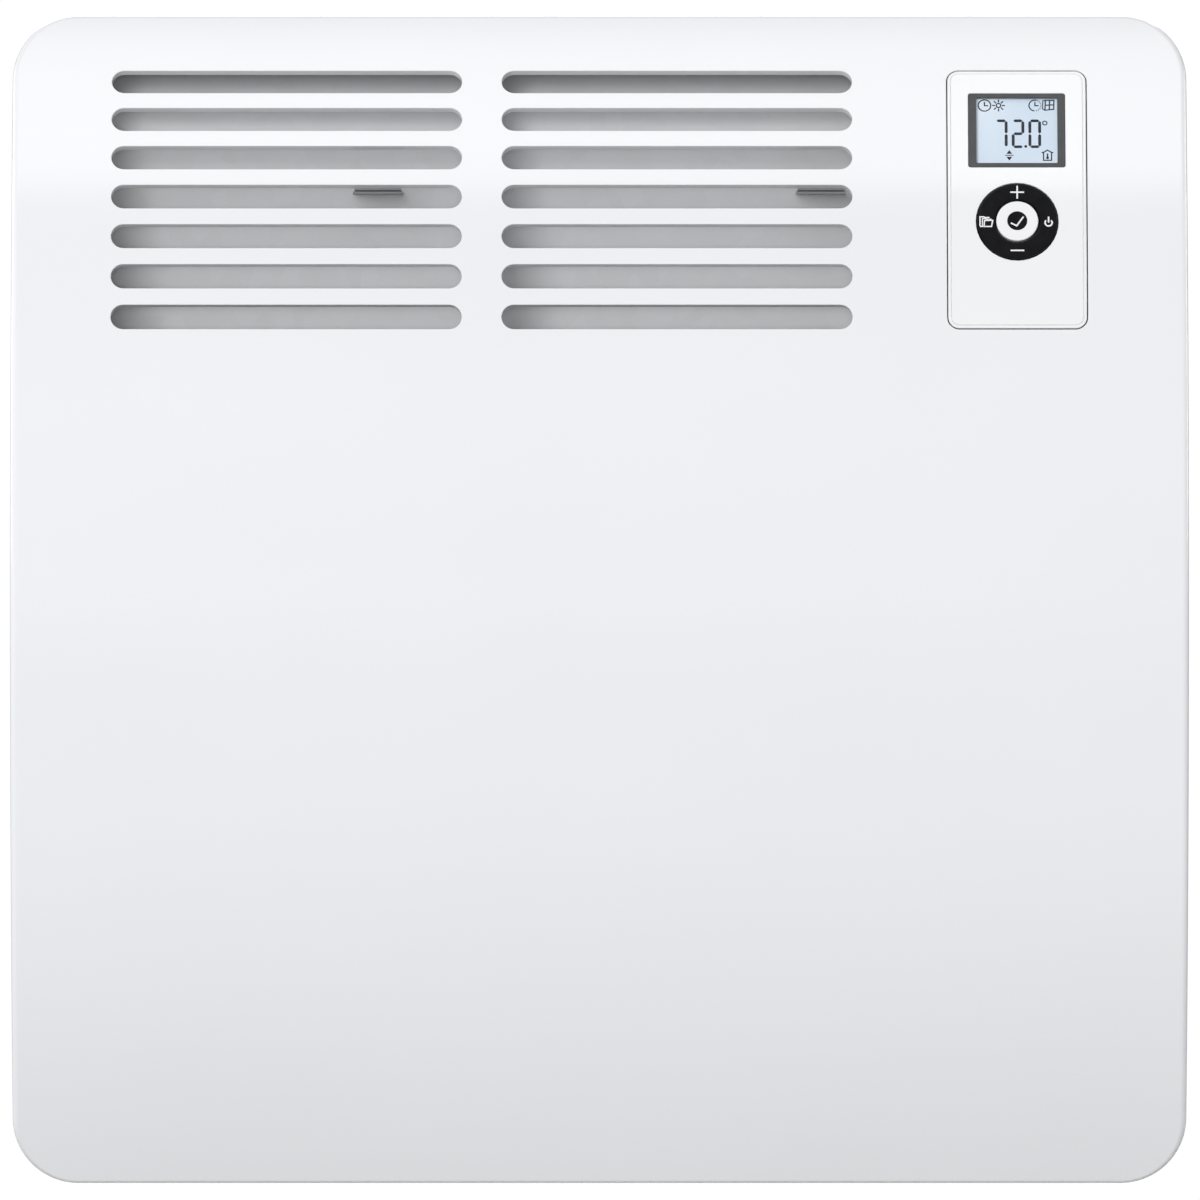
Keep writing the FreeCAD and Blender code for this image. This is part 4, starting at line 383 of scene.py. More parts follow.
def rounded_loop(half_x, half_z, corner, step=OUTLINE_STEP, corner_steps=CORNER_STEPS):
    """Points and outward normals round a rectangle with rounded corners."""
    points, normals = [], []
    along_x, along_z = half_x - corner, half_z - corner
    for quarter, (sign_x, sign_z) in enumerate(((1, 1), (-1, 1), (-1, -1), (1, -1))):
        angle = RIGHT_ANGLE * quarter
        middle = Vector((sign_x * along_x, sign_z * along_z))
        side = 2 * (along_x if quarter % 2 == 0 else along_z)
        for i in range(corner_steps + (side > TINY)):
            a = angle + RIGHT_ANGLE * i / corner_steps
            normal = Vector((math.cos(a), math.sin(a)))
            points.append(middle + corner * normal)
            normals.append(normal)
        count = max(1, round(side / step))
        run = Vector((-math.sin(angle + RIGHT_ANGLE), math.cos(angle + RIGHT_ANGLE)))
        for i in range(1, count):
            points.append(points[-1] + run * side / count)
            normals.append(normals[-1])
    return points, normals


def rounded_distance(x, z, half_x, half_z, corner):
    """Signed distance to a rounded rectangle round the origin: negative inside."""
    dx, dz = abs(x) - half_x + corner, abs(z) - half_z + corner
    return math.hypot(max(dx, 0), max(dz, 0)) + min(max(dx, dz), 0) - corner


def inside_loop(spot, loop):
    """Whether a flat spot lies within a loop, by counting the loop's crossings to its right."""
    hit = False
    for i, a in enumerate(loop):
        b = loop[i - 1]
        if (a.y > spot.y) == (b.y > spot.y):
            continue
        if spot.x < a.x + (b.x - a.x) * (spot.y - a.y) / (b.y - a.y):
            hit = not hit
    return hit


def open_loops(faces):
    """Open edges of a set of faces, chained into closed loops of points."""
    sides = {}
    for points in faces:
        spots = [tuple(round(c, POINT_DIGITS) for c in p) for p in points]
        for side in zip(spots, spots[1:] + spots[:1]):
            sides[side] = True
    after = {a: b for a, b in sides if (b, a) not in sides}
    loops = []
    while after:
        start, following = after.popitem()
        loop = [Vector(start)]
        while following in after:
            loop.append(Vector(following))
            following = after.pop(following)
        loops.append(loop)
    return loops


def cad_faces(node):
    """The faces of a CAD node: their points, in millimetres, and their normals."""
    data = nodes[node].data
    for face in data.polygons:
        yield [data.vertices[i].co / MM for i in face.vertices], face.normal


class Opening(NamedTuple):
    """A rounded opening in a bowed sheet: middle x, bow angle, half sizes and corner radius."""

    x: float
    angle: float
    half: tuple
    corner: float

    def grown(self, margin):
        """The same opening, wider by a margin all round."""
        half = (self.half[0] + margin, self.half[1] + margin)
        return Opening(self.x, self.angle, half, self.corner + margin)

    def holds(self, spot):
        """Whether a point near the bow lies within the opening's outline."""
        reach = math.hypot(spot.y - BOW_AXIS_Y, spot.z)
        rise = reach * math.sin(math.atan2(spot.z, BOW_AXIS_Y - spot.y) - self.angle)
        return rounded_distance(spot.x - self.x, rise, *self.half, self.corner) < 0


class Skin:
    """Surface patches with their own normals, gathered into one mesh."""

    def __init__(self):
        self.points, self.normals, self.faces = [], [], []

    def patch(self, points, normals, faces):
        """Adds faces over a set of points, each turned the way its normals look."""
        base = len(self.points)
        self.points += [Vector(p) for p in points]
        self.normals += [Vector(n).normalized() for n in normals]
        for face in faces:
            corners = [base + i for i in face]
            a, b, c = (self.points[i] for i in corners[:3])
            facing = sum((self.normals[i] for i in corners), Vector())
            self.faces.append(corners if (b - a).cross(c - a).dot(facing) >= 0 else corners[::-1])

    def facet(self, points, normal):
        """Adds one flat face."""
        self.patch(points, [normal] * len(points), [range(len(points))])

    def loft(self, rings):
        """Joins closed rings of points and normals, one after the other."""
        count = len(rings[0][0])
        points = [p for ring, _ in rings for p in ring]
        normals = [n for _, ring in rings for n in ring]
        faces = []
        for base in range(0, count * (len(rings) - 1), count):
            for i in range(count):
                j = (i + 1) % count
                faces.append((base + i, base + j, base + count + j, base + count + i))
        self.patch(points, normals, faces)

    def finish(self, name, body, node, slot):
        """Makes the piece that takes the place of a CAD node."""
        data = bpy.data.meshes.new(name)
        data.from_pydata([p * MM for p in self.points], [], self.faces)
        data.polygons.foreach_set("use_smooth", [True] * len(data.polygons))
        data.normals_split_custom_set_from_vertices(self.normals)
        piece = add_piece(name, data, slot, body)
        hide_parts(node)


def bowed_sheet(skin, loop, radius, holes, spacing, facing, gaps=()):
    """A bowed face inside a loop of (x, bow angle), with holes and other loops left out."""
    spots, edges = [], []

    def add(points):
        """Adds a closed line to the sheet's flat pattern."""
        base = len(spots)
        line = [Vector((x, radius * angle)) for x, angle in points]
        spots.extend(line)
        edges.extend((base + i, base + (i + 1) % len(line)) for i in range(len(line)))
        return line

    border = add(loop)
    openings = []
    for hole in holes:
        outline, _ = rounded_loop(*hole.half, hole.corner)
        line = add([(hole.x + p.x, hole.angle + math.asin(p.y / radius)) for p in outline])
        openings.append((hole.grown(OPENING_MARGIN), line))
    feet = [add(gap) for gap in gaps]
    low_x, high_x = min(x for x, _ in loop), max(x for x, _ in loop)
    low_angle, high_angle = min(a for _, a in loop), max(a for _, a in loop)
    across = round((high_x - low_x) / spacing[0])
    rise = round((high_angle - low_angle) * radius / spacing[1])
    for i in range(1, across):
        for j in range(1, rise):
            x = low_x + (high_x - low_x) * i / across
            spots.append(Vector((x, radius * (low_angle + (high_angle - low_angle) * j / rise))))
    flat, _, triangles, *_ = delaunay_2d_cdt(spots, edges, [], 0, MERGE_DISTANCE)

    def on_sheet(triangle):
        """Whether a triangle belongs to the sheet, not to an opening or a foot."""
        centre = sum((flat[i] for i in triangle), Vector((0, 0))) / 3
        spot = bow_point(centre.x, centre.y / radius, radius)
        if any(hole.holds(spot) and inside_loop(centre, line) for hole, line in openings):
            return False
        return inside_loop(centre, border) and not any(inside_loop(centre, foot) for foot in feet)

    kept = [triangle for triangle in triangles if on_sheet(triangle)]
    used = sorted({i for triangle in kept for i in triangle})
    place = {old: new for new, old in enumerate(used)}
    points = [bow_point(flat[i].x, flat[i].y / radius, radius) for i in used]
    normals = [facing * bow_normal(flat[i].y / radius) for i in used]
    skin.patch(points, normals, [[place[i] for i in triangle] for triangle in kept])


def hole_walls(skin, hole, face, back, ease, rim=None):
    """Soft front edge and wall of an opening, between two bows.

    rim, the wall thickness and the foot's bow, adds the outside of a rim that stands behind the sheet.
    """
    outline, sides = rounded_loop(*hole.half, hole.corner)
    turn = Matrix.Rotation(-hole.angle, 4, "X")
    place = Matrix.Translation((hole.x, BOW_AXIS_Y, 0)) @ turn

    def ring(offset, radius, sink, lean):
        """The outline, moved outwards onto a sunk bow, with normals that lean inwards."""
        points, normals = [], []
        for spot, side in zip(outline, sides):
            at = spot + side * offset
            outward = Vector((side.x, 0, side.y))
            points.append(place @ Vector((at.x, sink - math.sqrt(radius**2 - at.y**2), at.y)))
            normals.append(turn @ (Vector((0, -1, 0)) * math.cos(lean) - outward * math.sin(lean)))
        return points, normals

    rings = []
    for k in range(HOLE_EDGE_STEPS + 1):
        t = RIGHT_ANGLE * k / HOLE_EDGE_STEPS
        rings.append(ring(ease * (1 - math.sin(t)), face, ease * (1 - math.cos(t)), t))
    rings.append(ring(0, back, 0, RIGHT_ANGLE))
    skin.loft(rings)
    if rim is not None:
        wall, foot = rim
        skin.loft([ring(0, back, 0, 2 * RIGHT_ANGLE), ring(wall, back, 0, 2 * RIGHT_ANGLE)])
        skin.loft([ring(wall, back, 0, 3 * RIGHT_ANGLE), ring(wall, foot, 0, 3 * RIGHT_ANGLE)])


# Front panel: the CAD sheet rebuilt with a finer bow, a smooth rounded edge and soft slot edges


def slot_openings():
    """The outlet slots, from the lowest row up."""
    openings = []
    for row in range(SLOT_ROWS):
        angle = LOWEST_SLOT_ANGLE + row * SLOT_PITCH / BOW_RADIUS
        for left, right in SLOT_SPANS:
            half = ((right - left) / 2, SLOT_HALF)
            openings.append(Opening((left + right) / 2, angle, half, SLOT_HALF))
    return openings


def panel_rim(skin):
    """Rounded edge, turned-back wall and its inner side; returns the loops of the two faces."""
    outline, sides = rounded_loop(*PANEL_HALF, PANEL_CORNER, corner_steps=PANEL_CORNER_STEPS)
    rounded = [([], []) for _ in range(PANEL_EDGE_STEPS + 1)]
    wall, back, inner = ([([], []), ([], [])] for _ in range(3))
    front_loop, inner_loop = [], []
    hold = BOW_RADIUS - PANEL_EDGE
    tail = BOW_RADIUS - PANEL_RETURN

    def behind(spot, radius):
        """The point of a bow that is straight behind a spot of the outline."""
        return Vector((spot.x, BOW_AXIS_Y - math.sqrt(radius**2 - spot.y**2), spot.y))

    for spot, side in zip(outline, sides):
        middle = spot - side * PANEL_EDGE
        angle = math.asin(middle.y / hold)
        centre = bow_point(middle.x, angle, hold)
        front_loop.append((middle.x, angle))
        outward = Vector((side.x, 0, side.y))
        for k, (points, normals) in enumerate(rounded):
            direction = bow_normal(angle).slerp(outward, k / PANEL_EDGE_STEPS)
            points.append(centre + direction * PANEL_EDGE)
            normals.append(direction)
        lined = spot - side * PANEL_SHEET
        inner_loop.append((lined.x, math.asin(lined.y / PANEL_LINING)))
        edge_end = rounded[-1][0][-1]
        wall_end, lined_end = behind(spot, tail), behind(lined, tail)
        for pair, points, normal in (
            (wall, (edge_end, wall_end), outward),
            (back, (wall_end, lined_end), -bow_normal(math.asin(spot.y / tail))),
            (inner, (lined_end, behind(lined, PANEL_LINING)), -outward),
        ):
            for (ring, normals), point in zip(pair, points):
                ring.append(point)
                normals.append(normal)
    for rings in (rounded, wall, back, inner):
        skin.loft(rings)
    return front_loop, inner_loop


def inner_fittings(skin, slots):
    """Weld studs and lugs taken over from the CAD panel; returns the loops they stand on."""
    rims = [slot.grown(SLOT_RIM_WALL + OPENING_MARGIN) for slot in slots]
    taken = []
    for points, normal in cad_faces("front_panel"):
        reach = [math.hypot(p.y - BOW_AXIS_Y, p.z) for p in points]
        behind = all(r < PANEL_LINING + TOLERANCE for r in reach)
        raised = any(abs(r - PANEL_LINING) > TOLERANCE for r in reach)
        edge = any(rounded_distance(p.x, p.z, *PANEL_HALF, PANEL_CORNER) > -RIM_ZONE for p in points)
        if edge or not (behind and raised):
            continue
        if not any(all(rim.holds(p) for p in points) for rim in rims):
            skin.facet(points, normal)
            taken.append(points)
    return [[(p.x, math.atan2(p.z, BOW_AXIS_Y - p.y)) for p in loop] for loop in open_loops(taken)]


def panel_skin():
    """The front panel: rim, fittings, both faces of the sheet and the walls of its openings."""
    skin = Skin()
    slots = slot_openings()
    window = Opening(CONTROL_X, CONTROL_ANGLE, WINDOW_HALF, WINDOW_CORNER)
    front_loop, inner_loop = panel_rim(skin)
    feet = inner_fittings(skin, slots)
    front_holes = [hole.grown(HOLE_EASE) for hole in (*slots, window)]
    inner_holes = [*(slot.grown(SLOT_RIM_WALL) for slot in slots), window]
    bowed_sheet(skin, front_loop, BOW_RADIUS, front_holes, PANEL_FRONT_SPACING, 1)
    bowed_sheet(skin, inner_loop, PANEL_LINING, inner_holes, PANEL_INNER_SPACING, -1, feet)
    rim_end = PANEL_LINING - SLOT_RIM_DEPTH
    for slot in slots:
        hole_walls(skin, slot, BOW_RADIUS, rim_end, HOLE_EASE, (SLOT_RIM_WALL, PANEL_LINING))
    hole_walls(skin, window, BOW_RADIUS, PANEL_LINING, HOLE_EASE)
    skin.finish("panel_skin", "heater", "front_panel", "panel_white")


# Control unit: fascia with its fine groove, key ring and centre key with rounded edges


def fascia_skin():
    """The fascia: groove, rounded edge, front and back faces and the walls of its openings."""
    skin = Skin()
    outline, sides = rounded_loop(*FASCIA_HALF, FASCIA_CORNER, FASCIA_STEP, FASCIA_CORNER_STEPS)
    holes = [
        Opening(CONTROL_X, DISPLAY_ANGLE, *DISPLAY_OPENING),
        Opening(CONTROL_X, KEYS_ANGLE, *KEYS_OPENING),
    ]

    def inset_loop(inset):
        """The outline, moved inwards, as a loop of (x, bow angle)."""
        spots = [spot - side * inset for spot, side in zip(outline, sides)]
        return [(CONTROL_X + at.x, CONTROL_ANGLE + math.asin(at.y / BOW_RADIUS)) for at in spots]

    def ring(inset, radius, lean):
        """The outline, moved inwards onto a bow, with normals that lean outwards."""
        points, normals = [], []
        for (x, angle), side in zip(inset_loop(inset), sides):
            points.append(bow_point(x, angle, radius))
            upward = Vector((0, math.sin(angle), math.cos(angle)))
            outward = Vector((side.x, 0, 0)) + upward * side.y
            normals.append(bow_normal(angle) * math.cos(lean) + outward * math.sin(lean))
        return points, normals

    inner_lip, middle, outer_lip = GROOVE_INSETS
    floor = FASCIA_FACE - GROOVE_DEPTH
    land = FASCIA_FACE - FASCIA_LAND_DROP
    skin.loft([ring(inner_lip, FASCIA_FACE, GROOVE_LIP_LEAN), ring(middle, floor, GROOVE_FLOOR_LEAN)])
    skin.loft([ring(middle, floor, -GROOVE_FLOOR_LEAN), ring(outer_lip, land, -GROOVE_LIP_LEAN)])
    edge = [ring(outer_lip, land, FASCIA_LAND_LEAN)]
    for k in range(FASCIA_EDGE_STEPS + 1):
        t = RIGHT_ANGLE * k / FASCIA_EDGE_STEPS
        radius = FASCIA_FACE - FASCIA_EDGE_DROP - FASCIA_EDGE * (1 - math.cos(t))
        edge.append(ring(FASCIA_EDGE * (1 - math.sin(t)), radius, t))
    edge.append(ring(0, FASCIA_BACK, RIGHT_ANGLE))
    skin.loft(edge)
    eased = [hole.grown(FASCIA_EASE) for hole in holes]
    bowed_sheet(skin, inset_loop(inner_lip), FASCIA_FACE, eased, FASCIA_SPACING, 1)
    bowed_sheet(skin, inset_loop(0), FASCIA_BACK, holes, FASCIA_SPACING, -1)
    for hole in holes:
        hole_walls(skin, hole, FASCIA_FACE, FASCIA_BACK, FASCIA_EASE)
    skin.finish("fascia_skin", "heater", "control_fascia", "fascia_white")


def rounded_profile(corners):
    """Points of a turned outline with their normals; a corner without rounding has None."""
    profile, leans = [], []
    for i, (radius, depth, rounding) in enumerate(corners):
        spot = Vector((radius, depth))
        if not rounding:
            profile.append(spot)
            leans.append(None)
            continue
        before, after = ((Vector(corners[j][:2]) - spot).normalized() for j in (i - 1, i + 1))
        centre = spot + (before + after) * rounding
        for k in range(TURN_ROUNDING_STEPS + 1):
            t = RIGHT_ANGLE * k / TURN_ROUNDING_STEPS
            lean = -after * math.cos(t) - before * math.sin(t)
            profile.append(centre + lean * rounding)
            leans.append(lean)
    return profile, leans


def bridge_faces(angles):
    """Triangles between an even ring and the ring after it, whose points are at other angles."""
    total = len(angles)
    even_stops = [FULL_TURN * (i + 1) / TURN_STEPS for i in range(TURN_STEPS)] + [math.inf]
    other_stops = [*angles[1:], angles[0] + FULL_TURN, math.inf]
    faces = []
    i = j = 0
    while i < TURN_STEPS or j < total:
        here, there = i % TURN_STEPS, TURN_STEPS + j % total
        if even_stops[i] <= other_stops[j]:
            i += 1
            faces.append((here, i % TURN_STEPS, there))
        else:
            j += 1
            faces.append((here, TURN_STEPS + j % total, there))
    return faces


def turned_skin(name, body, node, slot, corners):
    """A turned piece of the key pad from (radius, depth, rounding) corners, on the CAD piece's back."""
    skin = Skin()
    place = bow_frame(KEYS_ANGLE)
    inverse = place.inverted()
    turn = place.to_3x3()
    back = corners[-1][1] - TOLERANCE
    taken = []
    for points, normal in cad_faces(node):
        if min((inverse @ p).y for p in points) > back:
            skin.facet(points, normal)
            taken.append(points)
    joins = {}
    for loop in open_loops(taken):
        local = [inverse @ p for p in loop]
        first = abs(math.hypot(local[0].x, local[0].z) - corners[0][0]) < TOLERANCE
        joins["first" if first else "last"] = sorted(math.atan2(p.z, p.x) % FULL_TURN for p in local)

    def ring(spot, lean, angles):
        """A point of the outline and its normal, turned about the keys' axis."""
        points, normals = [], []
        for a in angles:
            c, s = math.cos(a), math.sin(a)
            points.append(place @ Vector((spot.x * c, spot.y, spot.x * s)))
            normals.append(turn @ Vector((lean.x * c, lean.y, lean.x * s)))
        return points, normals

    def bridge(even_ring, spot, lean, angles):
        """Joins an even ring to one with the points of the CAD piece's back."""
        points, normals = ring(spot, lean, angles)
        skin.patch(even_ring[0] + points, even_ring[1] + normals, bridge_faces(angles))

    even = [FULL_TURN * k / TURN_STEPS for k in range(TURN_STEPS)]
    profile, leans = rounded_profile(corners)
    last = len(profile) - 2
    for i, (a, b) in enumerate(zip(profile, profile[1:])):
        run = (b - a).normalized()
        flat = Vector((run.y, -run.x))
        lean_a, lean_b = (flat if lean is None else lean for lean in leans[i : i + 2])
        if i == 0 and "first" in joins:
            bridge(ring(b, lean_b, even), a, lean_a, joins["first"])
        elif i == last and "last" in joins:
            bridge(ring(a, lean_a, even), b, lean_b, joins["last"])
        else:
            skin.loft([ring(a, lean_a, even), ring(b, lean_b, even)])
    if "first" not in joins:
        skin.patch(*ring(profile[0], Vector((0, -1)), even), [range(TURN_STEPS)])
    skin.finish(name, body, node, slot)


def ring_skin():
    """The black four-way key ring."""
    corners = [
        (RING_BORE_RADIUS, RING_BORE_END, 0),
        (RING_BORE_RADIUS, RING_FACE, RING_ROUNDING),
        (RING_RADIUS, RING_FACE, RING_ROUNDING),
        (RING_RADIUS, RING_BACK, 0),
    ]
    turned_skin("ring_skin", "nav_ring", "nav_ring", "key_black", corners)


def key_skin():
    """The white centre key, with a pocket for its black dot."""
    corners = [
        (KEY_POCKET_RADIUS, KEY_POCKET_FLOOR, 0),
        (KEY_POCKET_RADIUS, KEY_FACE, KEY_POCKET_ROUNDING),
        (KEY_RADIUS, KEY_FACE, KEY_ROUNDING),
        (KEY_RADIUS, KEY_BACK, 0),
    ]
    turned_skin("key_skin", "ok_key", "ok_key", "key_white", corners)


panel_skin()
fascia_skin()
ring_skin()
key_skin()

# Display and key symbols: thin inlays on the faces that carry them

INLAY_THICKNESS = 0.03
MITRE_LIMIT = 0.35


def shifted(points, x, z):
    """The same flat points, moved."""
    return [(x + a, z + b) for a, b in points]


class Inlay:
    """Flat shapes on a face of the control unit, made as thin prisms."""

    def __init__(self, name, angle, depth, body, slot, material):
        self.name, self.angle = name, angle
        self.front, self.back = depth - INLAY_THICKNESS, depth
        self.body, self.slot, self.material = body, slot, material
        self.mesh = bmesh.new()

    def polygon(self, points):
        """A filled outline."""
        front = [self.mesh.verts.new((x, self.front, z)) for x, z in points]
        back = [self.mesh.verts.new((x, self.back, z)) for x, z in points]
        self.mesh.faces.new(front)
        self.mesh.faces.new(back[::-1])
        count = len(points)
        for i in range(count):
            j = (i + 1) % count
            self.mesh.faces.new((front[j], front[i], back[i], back[j]))

    def stroke(self, points, width, closed=False):
        """A line of constant width with mitred corners."""
        spots = [Vector(p) for p in points]
        count = len(spots)
        left, right = [], []
        for i, spot in enumerate(spots):
            before = spots[i - 1] if closed or i else None
            after = spots[(i + 1) % count] if closed or i < count - 1 else None
            runs = [b - a for a, b in ((before, spot), (spot, after)) if a is not None and b is not None]
            sides = [Vector((-run.y, run.x)).normalized() for run in runs]
            mitre = sum(sides, Vector((0, 0))).normalized()
            reach = width / 2 / max(MITRE_LIMIT, mitre.dot(sides[0]))
            left.append(spot + mitre * reach)
            right.append(spot - mitre * reach)
        if closed:
            self.tube(left, right)
        else:
            self.polygon([*left, *right[::-1]])

    def tube(self, left, right):
        """A closed line between its two sides."""
        corners = ((left, self.front), (left, self.back), (right, self.back), (right, self.front))
        rows = [[self.mesh.verts.new((p.x, depth, p.y)) for p in line] for line, depth in corners]
        count = len(left)
        for row, following in zip(rows, rows[1:] + rows[:1]):
            for i in range(count):
                j = (i + 1) % count
                self.mesh.faces.new((row[i], row[j], following[j], following[i]))

    def arc_line(self, x, z, radius, width, start=0.0, end=360.0, steps=36):
        """A line along an arc, between two angles in degrees, or along a whole circle."""
        whole = abs(end - start) >= 360
        count = steps if whole else steps + 1
        angles = [math.radians(start + (end - start) * i / steps) for i in range(count)]
        points = [(x + radius * math.cos(a), z + radius * math.sin(a)) for a in angles]
        self.stroke(points, width, closed=whole)

    def disc(self, x, z, radius, steps=28):
        """A filled circle."""
        angles = [FULL_TURN * i / steps for i in range(steps)]
        self.polygon([(x + radius * math.cos(a), z + radius * math.sin(a)) for a in angles])

    def finish(self):
        """Makes the piece, on its face."""
        bmesh.ops.recalc_face_normals(self.mesh, faces=self.mesh.faces[:])
        place = Matrix.Diagonal((MM, MM, MM, 1)) @ bow_frame(self.angle)
        bmesh.ops.transform(self.mesh, matrix=place, verts=self.mesh.verts[:])
        data = bpy.data.meshes.new(self.name)
        self.mesh.to_mesh(data)
        self.mesh.free()
        add_piece(self.name, data, self.material, self.body)


DIGIT_WIDTH = 3.9
DIGIT_HEIGHT = 11.5
DIGIT_STROKE = 1.18
DIGIT_FOOT = -6.3
SEGMENT_GAP = 0.1
SEGMENT_ENDS = {
    "a": ((0, 1), (1, 1)),
    "b": ((1, 1), (1, 0.5)),
    "c": ((1, 0.5), (1, 0)),
    "d": ((0, 0), (1, 0)),
    "e": ((0, 0.5), (0, 0)),
    "f": ((0, 1), (0, 0.5)),
    "g": ((0, 0.5), (1, 0.5)),
}
DIGIT_SEGMENTS = {"7": "abc", "2": "abged", "0": "abcdef"}
DIGIT_PLACES = {"7": -8.1, "2": -1.4, "0": 5.3}


def digit(inlay, text, x, z):
    """A seven-segment figure whose lower left corner is at x, z."""
    inset = DIGIT_STROKE / 2
    for segment in DIGIT_SEGMENTS[text]:
        start, end = (Vector((x + a * DIGIT_WIDTH, z + b * DIGIT_HEIGHT)) for a, b in SEGMENT_ENDS[segment])
        run = (end - start).normalized()
        side = Vector((-run.y, run.x)) * inset
        tips = start + run * SEGMENT_GAP, end - run * SEGMENT_GAP
        near, far = tips[0] + run * inset, tips[1] - run * inset
        inlay.polygon([tips[0], near + side, far + side, tips[1], far - side, near - side])


def display_digits():
    """The temperature: three figures, a point and a degree sign."""
    figures = Inlay("display_digits", DISPLAY_ANGLE, LCD_DEPTH, "heater", "bezel_grey", "display_ink")
    for text, x in DIGIT_PLACES.items():
        digit(figures, text, x, DIGIT_FOOT)
    figures.disc(x=3.6, z=DIGIT_FOOT + 0.15, radius=0.58)
    figures.arc_line(x=11.3, z=4.2, radius=0.85, width=0.45, steps=24)
    figures.finish()


ICON_LINE = 0.5
ICON_TOP_ROW = 12.0
ICON_LOW_ROW = -10.1


def clock_hands(icons, x, z):
    """The two hands of a clock round x, z."""
    icons.stroke(shifted([(0, 1.6), (0, -0.1), (1.5, -0.1)], x, z), ICON_LINE)


def clock_icon(icons, x, z):
    """A plain clock."""
    icons.arc_line(x, z, radius=2.5, width=ICON_LINE)
    clock_hands(icons, x, z)


def sun_icon(icons, x, z):
    """A small ring with rays."""
    rays = 8
    icons.arc_line(x, z, radius=0.9, width=ICON_LINE, steps=20)
    middle = Vector((x, z))
    for i in range(rays):
        angle = FULL_TURN * i / rays
        ray = Vector((math.cos(angle), math.sin(angle)))
        icons.stroke([middle + ray * 1.35, middle + ray * 2.6], ICON_LINE)


def timer_icon(icons, x, z):
    """A clock whose rim is in dashes on the right; angles are in degrees."""
    radius = 2.4
    icons.arc_line(x, z, radius, ICON_LINE, start=75, end=265, steps=20)
    for start in range(-80, 80, 20):
        icons.arc_line(x, z, radius, ICON_LINE, start, start + 9, steps=3)
    clock_hands(icons, x, z)


def window_icon(icons, x, z):
    """A window with cross bars and an open leaf, seen at a slant."""
    pane = [(-1.8, -2.1), (1.7, -1.7), (1.8, 2.3), (-1.6, 2.3)]
    bars = [(-0.1, -1.9), (0.1, 2.3)], [(-1.7, 0.1), (1.7, 0.3)]
    leaf = [(-1.8, -2.1), (-2.8, -1.5), (-2.6, 2.1), (-1.6, 2.3)]
    icons.stroke(shifted(pane, x, z), ICON_LINE, closed=True)
    for bar in bars:
        icons.stroke(shifted(bar, x, z), ICON_LINE)
    icons.stroke(shifted(leaf, x, z), ICON_LINE * 0.8)


def arrows_icon(icons, x, z):
    """An arrow head up and one down, with a line between them."""
    for way in (1, -1):
        icons.polygon(shifted([(-1.15, 0.65 * way), (1.15, 0.65 * way), (0, 2.35 * way)], x, z))
    icons.stroke(shifted([(-1.7, 0), (1.7, 0)], x, z), ICON_LINE * 0.7)


def house_icon(icons, x, z):
    """A house with a thermometer in it."""
    roof = [(-2.35, 1.2), (-1.6, 1.3), (0, 2.3), (1.6, 1.3), (2.35, 1.2)]
    walls = [(-1.6, 1.2), (-1.6, -2.2), (1.6, -2.2), (1.6, 1.2)]
    icons.stroke(shifted(roof, x, z), ICON_LINE)
    icons.stroke(shifted(walls, x, z), ICON_LINE)
    icons.stroke(shifted([(0, 0.8), (0, -0.9)], x, z), ICON_LINE * 1.2)
    icons.disc(x, z - 1.1, radius=0.6, steps=16)


def display_icons():
    """The small icons above and below the figures."""
    icons = Inlay("display_icons", DISPLAY_ANGLE, LCD_DEPTH, "heater", "bezel_grey", "display_ink")
    clock_icon(icons, x=-12.8, z=ICON_TOP_ROW)
    sun_icon(icons, x=-7.2, z=ICON_TOP_ROW)
    timer_icon(icons, x=7.4, z=ICON_TOP_ROW)
    window_icon(icons, x=13.2, z=ICON_TOP_ROW)
    arrows_icon(icons, x=-3.0, z=ICON_LOW_ROW)
    house_icon(icons, x=12.3, z=ICON_LOW_ROW)
    icons.finish()


MARK_LINE = 0.62
MARK_REACH = 2.75


def plus_mark(marks, z):
    """A plus above the centre key: a bar and two uprights that meet it."""
    marks.stroke([(-MARK_REACH, z), (MARK_REACH, z)], MARK_LINE)
    for way in (1, -1):
        marks.stroke([(0, z + way * MARK_REACH), (0, z + way * MARK_LINE / 2)], MARK_LINE)


def minus_mark(marks, z):
    """A minus below the centre key."""
    marks.stroke([(-MARK_REACH, z), (MARK_REACH, z)], MARK_LINE)


def standby_mark(marks, x):
    """An open ring with a stroke, to the right of the centre key."""
    marks.arc_line(x, -0.8, radius=1.4, width=MARK_LINE, start=135, end=405, steps=28)
    marks.stroke([(x, 1.75), (x, -0.75)], MARK_LINE)


def folder_mark(marks, x):
    """A folder with a second one behind its lid, to the left of the centre key."""
    wide, middle, fine = 0.6, 0.5, 0.42
    lid = [(-2.5, -1.9), (-2.5, 2.0), (-0.9, 2.0), (-0.5, 1.7), (1.3, 1.7)]
    front = [(-0.9, -2.4), (-0.7, 0.2), (2.6, 0.2), (2.1, -2.4)]
    marks.stroke(shifted(lid, x, -0.3), middle)
    marks.stroke(shifted([(a * 0.8, b * 0.75) for a, b in lid], x + 0.45, -0.55), fine)
    marks.stroke(shifted(front, x, 0), middle, closed=True)
    marks.stroke(shifted([(-2.5, -2.35), (-0.9, -2.35)], x, 0), wide)
    marks.stroke(shifted([(0.9, 0.65), (2.1, 0.65)], x, 0), fine)


def ring_symbols():
    """The white symbols printed on the four sides of the key ring."""
    marks = Inlay("ring_symbols", KEYS_ANGLE, RING_FACE, "nav_ring", "key_white", "key_print")
    plus_mark(marks, z=12.2)
    minus_mark(marks, z=-12.6)
    standby_mark(marks, x=12.5)
    folder_mark(marks, x=-12.4)
    marks.finish()


